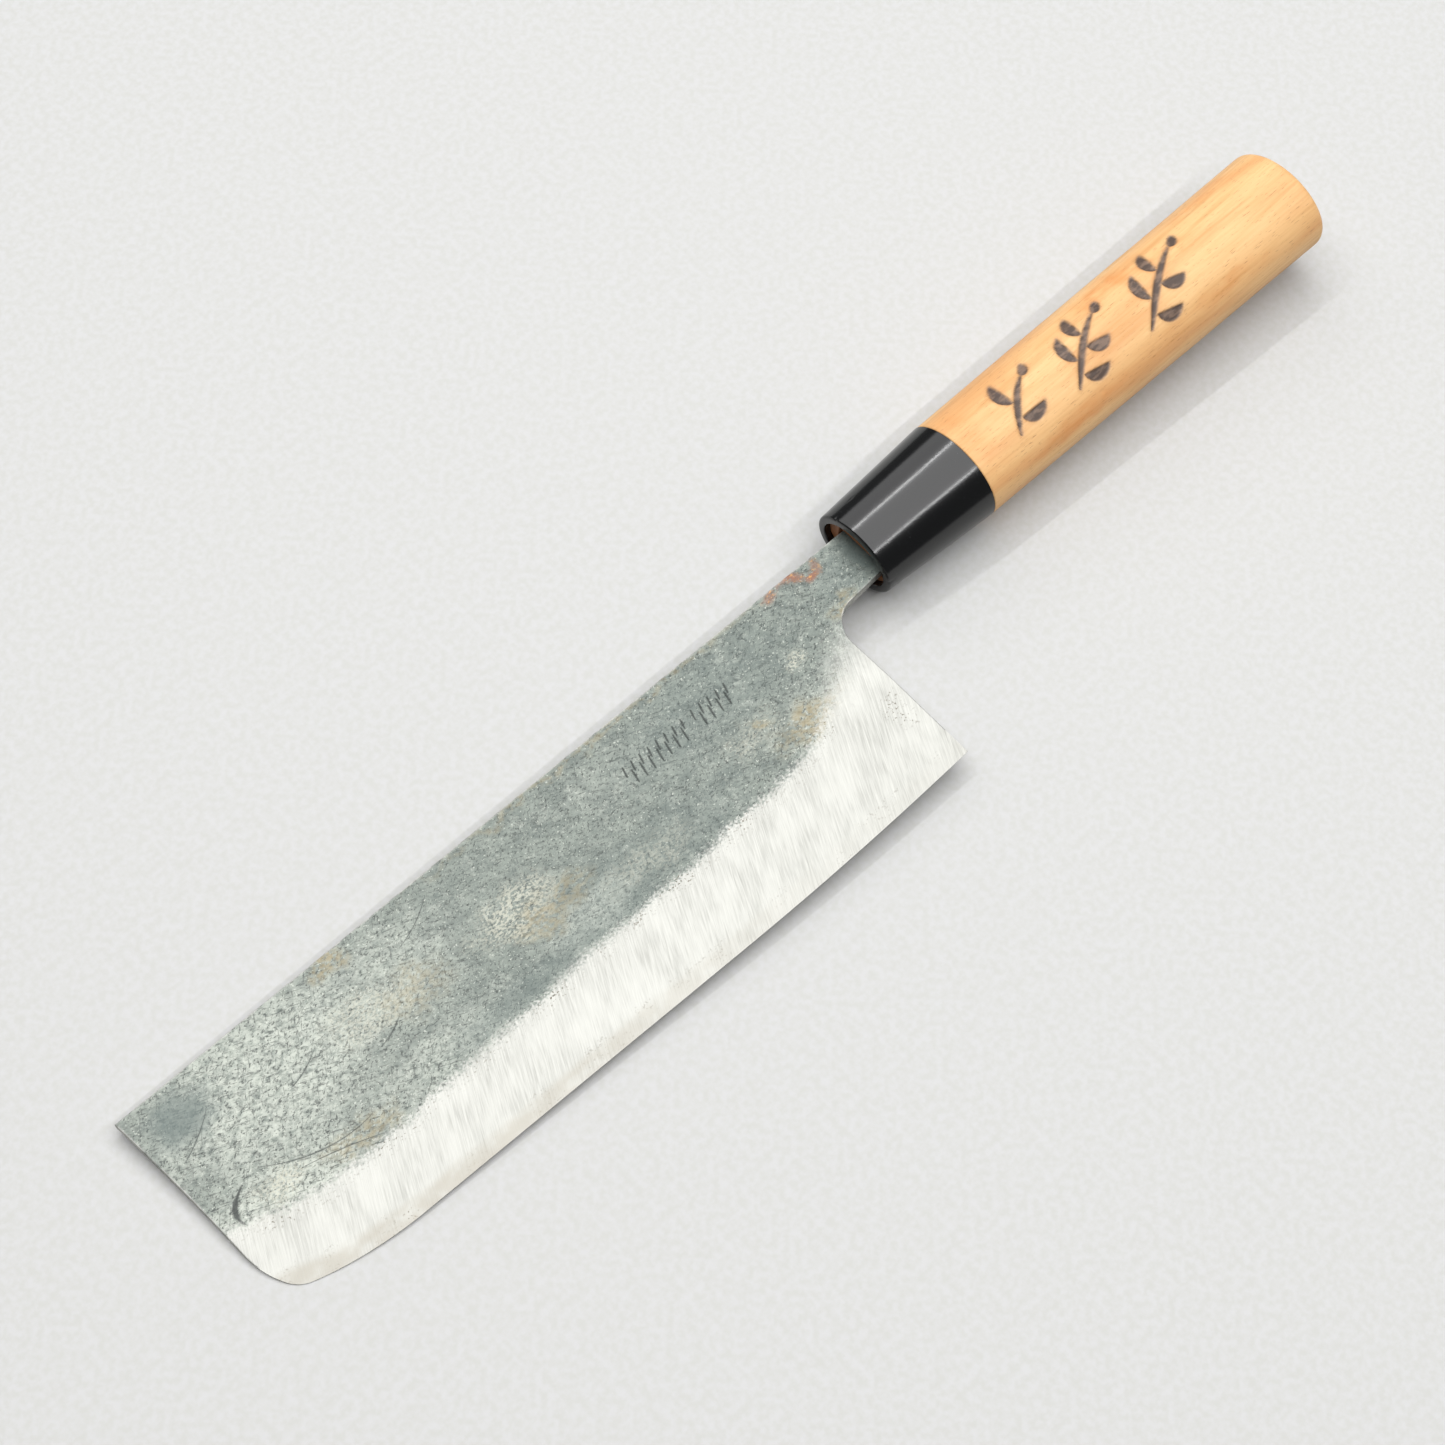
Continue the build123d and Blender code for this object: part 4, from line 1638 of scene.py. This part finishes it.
    def tenon_face(self, share: float) -> np.ndarray:
        """A ring on the tenon's end: the slot's lip at share 0, the oval at 1.

        Args:
            share: How far from the lip to the oval it lies.

        Returns:
            Rows of X, Y and Z.
        """
        half, gap = self.slot_half + self.slot_lip, self.slot_gap + self.slot_lip
        lip = self.slot_ring(self.tenon_x, half, gap)
        return lip * (1 - share) + self.tenon.ring(self.tenon_x) * share

    def outward(self, points: np.ndarray) -> np.ndarray:
        """The direction away from the grip's axis at each point.

        Args:
            points: Rows of X, Y and Z.

        Returns:
            One unit direction per point, square to the axis.
        """
        away = points - (0, self.grip_y, 0)
        away[:, 0] = 0
        return away / np.maximum(np.linalg.norm(away, axis=1), 1e-6)[:, None]

    def wear(self, points: np.ndarray, rings: int) -> dict[str, np.ndarray]:
        """Works out the wood's unevenness, burns and stains.

        Args:
            points: The handle's vertices.
            rings: How many rings they stand in. It is not used.

        Returns:
            For each mark one value per vertex, and how far each vertex shifts outward.
        """
        x, y, z = points.T
        tall, thick, radius = self.girth
        around = np.arctan2((y - self.grip_y) / tall, z / thick) * radius
        surface = np.column_stack([x, np.where(z > 0, around, FAR)])
        burn, scorch = np.zeros(len(x)), np.zeros(len(x))
        for stroke in self.sprigs():
            burn = np.maximum(burn, stroke.cover(surface, self.burn_side))
            scorch = np.maximum(scorch, stroke.cover(surface, self.scorch_reach))
        shift = ease(x, self.collar_x, self.collar_x + 1) * uneven(points, self.waves, 60.0)
        for dent in DENTS:
            shift = shift - dent.sink(x, surface[:, 1])
        swirl = [4 * ripple(points, 7, 62.0), 2 * ripple(points, 4, 63.0)]
        soaked = surface + np.column_stack(swirl)
        stain = np.max([spot.cover(soaked) for spot in WOOD_STAINS], axis=0)
        end = 1 - ease(x, self.collar_x - 1, self.collar_x - 0.2)
        shift = shift * (x < self.butt_x - self.butt_radius) - burn * self.burn_depth
        marks = {"burn": burn, "scorch": scorch * (1 - burn), "stain": stain * (1 - end)}
        return {**marks, "end": end, "shift": shift}


FAR = 99.0  # puts the grip's right side out of reach of the marks on its left

DENTS = [
    Dent(118.5, 8.6, 1.6, 0.25),
    Dent(74.0, -9.5, 0.8, 0.15),
    Dent(99.0, -13.0, 1.2, 0.12),
    Dent(132.0, 2.0, 1.0, 0.08),
]

WOOD_STAINS = [
    Spot(92, 7, 18, 3.6, 1.0),
    Spot(104, 3.5, 14, 3, 0.6),
    Spot(45, -1, 5, 14, 0.4),
    Spot(56, 2, 8, 4, 0.4),
    Spot(66, -11, 22, 3, 0.6),
    Spot(112, -9, 26, 2.6, 0.45),
    Spot(126, 9, 14, 3, 0.5),
]


@dataclass
class Collar:
    """The tapered oval tube of plastic pushed on to the tenon."""

    handle: Handle
    rim_radius: float = 0.5
    bore_radius: float = 0.25
    step: float = 0.9
    bore_start: float = 0.6
    bore_step: float = 3.0
    back_chamfer: tuple[float, float] = (0.15, 0.12)  # along the collar and across it
    wave: tuple[float, float] = (0.03, 9.0)
    girth: tuple[float, float, float] = (10.8, 8.7, 9.5)  # half height, half thickness, radius
    outside: float = 1.1  # beyond this many times the bore's own section

    def build(self, plastic: bpy.types.Material) -> bpy.types.Object:
        """Builds the collar.

        Args:
            plastic: Its finish.

        Returns:
            The new piece.
        """
        knife, handle = self.handle.knife, self.handle
        low, high = knife.span("ferrule")
        mouth_x, back_x = low[0], high[0]
        rim = knife.span("ferrule", mouth_x + self.rim_radius)[1]
        back = knife.span("ferrule", back_x)[1]
        grow = (back_x - mouth_x) / (back_x - mouth_x - self.rim_radius)
        tall = [rim[1] - handle.grip_y, back[1] - handle.grip_y]
        thick = [rim[2], back[2]]
        fronts = [pair[1] - (pair[1] - pair[0]) * grow for pair in (tall, thick)]
        shell = Oval(handle.grip_y, (mouth_x, back_x), (fronts[0], tall[1]), (fronts[1], thick[1]))
        bore = handle.tenon
        r = self.rim_radius
        back_length, back_inset = self.back_chamfer
        rings = [shell.ring(x) for x in steps(back_x - back_length, mouth_x + r, self.step)]
        for turn in np.linspace(0, math.pi / 2, 7)[1:]:
            rings.append(shell.ring(mouth_x + r - r * math.sin(turn), r * (1 - math.cos(turn))))
        for turn in np.linspace(0, math.pi / 2, 5):
            inset = -self.bore_radius * (1 - math.sin(turn))
            rings.append(bore.ring(mouth_x + self.bore_radius * (1 - math.cos(turn)), inset))
        rings += [bore.ring(x) for x in steps(mouth_x + self.bore_start, back_x, self.bore_step)]
        rings.append(shell.ring(back_x, back_inset))
        form = Form()
        form.rings(rings, loop=True)
        points = np.vstack(form.vertices)
        height, size = self.wave
        sink = height * ease(ripple(points, size, 70.0), -0.5, 0.5)
        tall_girth, thick_girth, radius = self.girth
        x, up, z = points[:, 0], points[:, 1] - handle.grip_y, points[:, 2]
        around = np.arctan2(z / thick_girth, up / tall_girth) * radius
        for nick in NICKS:
            sink = sink + nick.sink(x - mouth_x, around)
        outside = np.hypot(up / bore.tall[0], z / bore.thick[0]) > self.outside
        form.vertices = [points - (sink * outside)[:, None] * handle.outward(points)]
        return make_piece("collar", form, knife, "ferrule", plastic)


# Stations from the collar's mouth, and distances round it from its spine side.
NICKS = [
    Dent(0.3, 8.55, 0.6, 0.12),
    Dent(0.2, 22.325, 0.5, 0.1),
    Dent(6.0, 7.125, 0.5, 0.06),
    Dent(0.3, 27.55, 0.7, 0.15),
]


@dataclass
class Bedding:
    """The resin that fills the slot round the tang."""

    handle: Handle
    tang_half: float = 1.52
    tang_gap: float = 0.02
    step: float = 9.0
    sunk: float = 0.25  # the resin's face lies this far inside the slot's mouth
    sunk_wave: tuple[float, float] = (0.15, 1.5)

    def build(self, resin: bpy.types.Material) -> bpy.types.Object:
        """Builds the bedding.

        Args:
            resin: Its finish.

        Returns:
            The new piece.
        """
        handle = self.handle
        low, high = handle.knife.span("tang_bedding")
        tang_end = handle.tang_x()
        half, gap = handle.slot_half, handle.slot_gap
        outer, inner = steps(low[0], high[0], self.step), steps(tang_end, low[0], self.step)
        outside = [handle.slot_ring(x, half, gap) for x in outer]
        inside = [handle.slot_ring(x, self.tang_half, self.tang_gap) for x in inner]
        sunk = (outside[0] + inside[-1]) / 2
        height, size = self.sunk_wave
        sunk[:, 0] += self.sunk + height * ripple(sunk, size, 80.0)
        form = Form()
        form.rings([*reversed(outside), sunk, *reversed(inside)])
        return make_piece("tang_bedding", form, handle.knife, "tang_bedding", resin)


# ---------------------------------------------------------------- studio


@dataclass
class Studio:
    """Floor, soft overhead light and camera, placed in the knife's axes."""

    knife: Knife
    eye: tuple[float, float, float] = (-214.4, -156.65, 511.74)
    target: tuple[float, float, float] = (-30.7, -12.7, 0.0)
    upward: tuple[float, float, float] = (0.6106, 0.6776, 0.4098)
    lens: float = 73.5
    floor_size: float = 6.0
    panel_height: float = 1100.0
    panel_x: tuple[float, float] = (-0.6, 0.85)  # reach of the overhead panel, per unit of height
    panel_y: tuple[float, float] = (-0.48, 0.6)
    panel_radiance: float = 2.9
    edge_radiance: float = 30.0
    edge_width: float = 0.028
    edge_drop: float = 20.0  # the edge strips hang this far below the panel
    glow_radiance: float = 1.7  # the light fades out on the spine side
    glow_y: float = 1.15
    world: float = 0.16

    def place(self, point: Sequence[float]) -> Vector:
        """A point of the knife's axes, in millimetres, in the row frame."""
        return self.knife.matrix @ (Vector(point) * MM)

    def panel(self, name: str, centre: Sequence[float], size: Sequence[float], radiance: float) -> None:
        """Adds a soft panel that faces the middle of the knife.

        Args:
            name: Its name.
            centre: Its middle, in the knife's axes.
            size: Its length along the knife and its width.
            radiance: How bright it looks.
        """
        lamp = bpy.data.lights.new(name, "AREA")
        lamp.shape = "RECTANGLE"
        lamp.size, lamp.size_y = (s * MM for s in size)
        lamp.energy = radiance * math.pi * lamp.size * lamp.size_y
        panel = bpy.data.objects.new(name, lamp)
        bpy.context.scene.collection.objects.link(panel)
        away = (self.place(centre) - self.place((0, 0, 0))).normalized()
        along = self.knife.matrix.to_3x3().col[0]
        side = away.cross(along).normalized()
        turn = Matrix((side.cross(away), side, away)).transposed()
        panel.matrix_world = Matrix.Translation(self.place(centre)) @ turn.to_4x4()

    def light(self) -> None:
        """Adds the overhead panel with its two bright edges, the glow and dim surroundings."""
        h = self.panel_height
        (x0, x1), (y0, y1) = self.panel_x, self.panel_y
        length, middle = (x1 - x0) * h, (x0 + x1) / 2 * h
        centre, size = (middle, (y0 + y1) / 2 * h, h), (length, (y1 - y0) * h)
        self.panel("overhead", centre, size, self.panel_radiance)
        for name, y in (("edge_strip_front", y0), ("edge_strip_spine", y1)):
            size = (length, self.edge_width * h)
            self.panel(name, (middle, y * h, h - self.edge_drop), size, self.edge_radiance)
        self.panel("spine_glow", (middle, self.glow_y * h, h), (length, h), self.glow_radiance)
        world = bpy.data.worlds.new("surroundings")
        world.use_nodes = True
        shade = world.node_tree.nodes["Background"]
        shade.inputs["Color"].default_value = (self.world,) * 3 + (1.0,)
        bpy.context.scene.world = world

    def floor(self, paper: bpy.types.Material) -> None:
        """Lays the floor that the knife rests on.

        Args:
            paper: Its finish.
        """
        half = self.floor_size / 2
        mesh = bpy.data.meshes.new("floor")
        corners = [(-half, -half, 0), (half, -half, 0), (half, half, 0), (-half, half, 0)]
        mesh.from_pydata(corners, [], [(0, 1, 2, 3)])
        places = [value / MM for corner in corners for value in corner]
        mesh.attributes.new(PLACE, "FLOAT_VECTOR", "POINT").data.foreach_set("vector", places)
        mesh.materials.append(paper)
        floor = bpy.data.objects.new("floor", mesh)
        floor.location.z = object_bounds()[0].z - 0.02 * MM
        bpy.context.scene.collection.objects.link(floor)
        floor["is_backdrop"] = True

    def camera(self) -> None:
        """Adds the camera."""
        data = bpy.data.cameras.new("camera")
        data.lens = self.lens
        data.clip_start, data.clip_end = 0.01, 50
        camera = bpy.data.objects.new("camera", data)
        bpy.context.scene.collection.objects.link(camera)
        back = (self.place(self.eye) - self.place(self.target)).normalized()
        upward = self.place(self.upward) - self.place((0, 0, 0))
        right = upward.cross(back).normalized()
        turn = Matrix((right, back.cross(right), back)).transposed()
        camera.matrix_world = Matrix.Translation(self.place(self.eye)) @ turn.to_4x4()
        bpy.context.scene.camera = camera


def main() -> None:
    """Builds the knife piece by piece, then the studio."""
    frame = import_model()
    knife = Knife(frame)
    Blade(knife).build(ForgedIron().material(), CoreSteel().material())
    handle = Handle(knife)
    handle.build(OiledMagnolia().material())
    Collar(handle).build(BlackPlastic().material())
    Bedding(handle).build(BeddingResin().material())
    studio = Studio(knife)
    studio.floor(FloorPaper().material())
    studio.light()
    studio.camera()
    bpy.context.scene.view_settings.view_transform = "Standard"


if __name__ == "__main__":
    logging.basicConfig(level=logging.INFO, format="%(name)s: %(message)s")
    main()
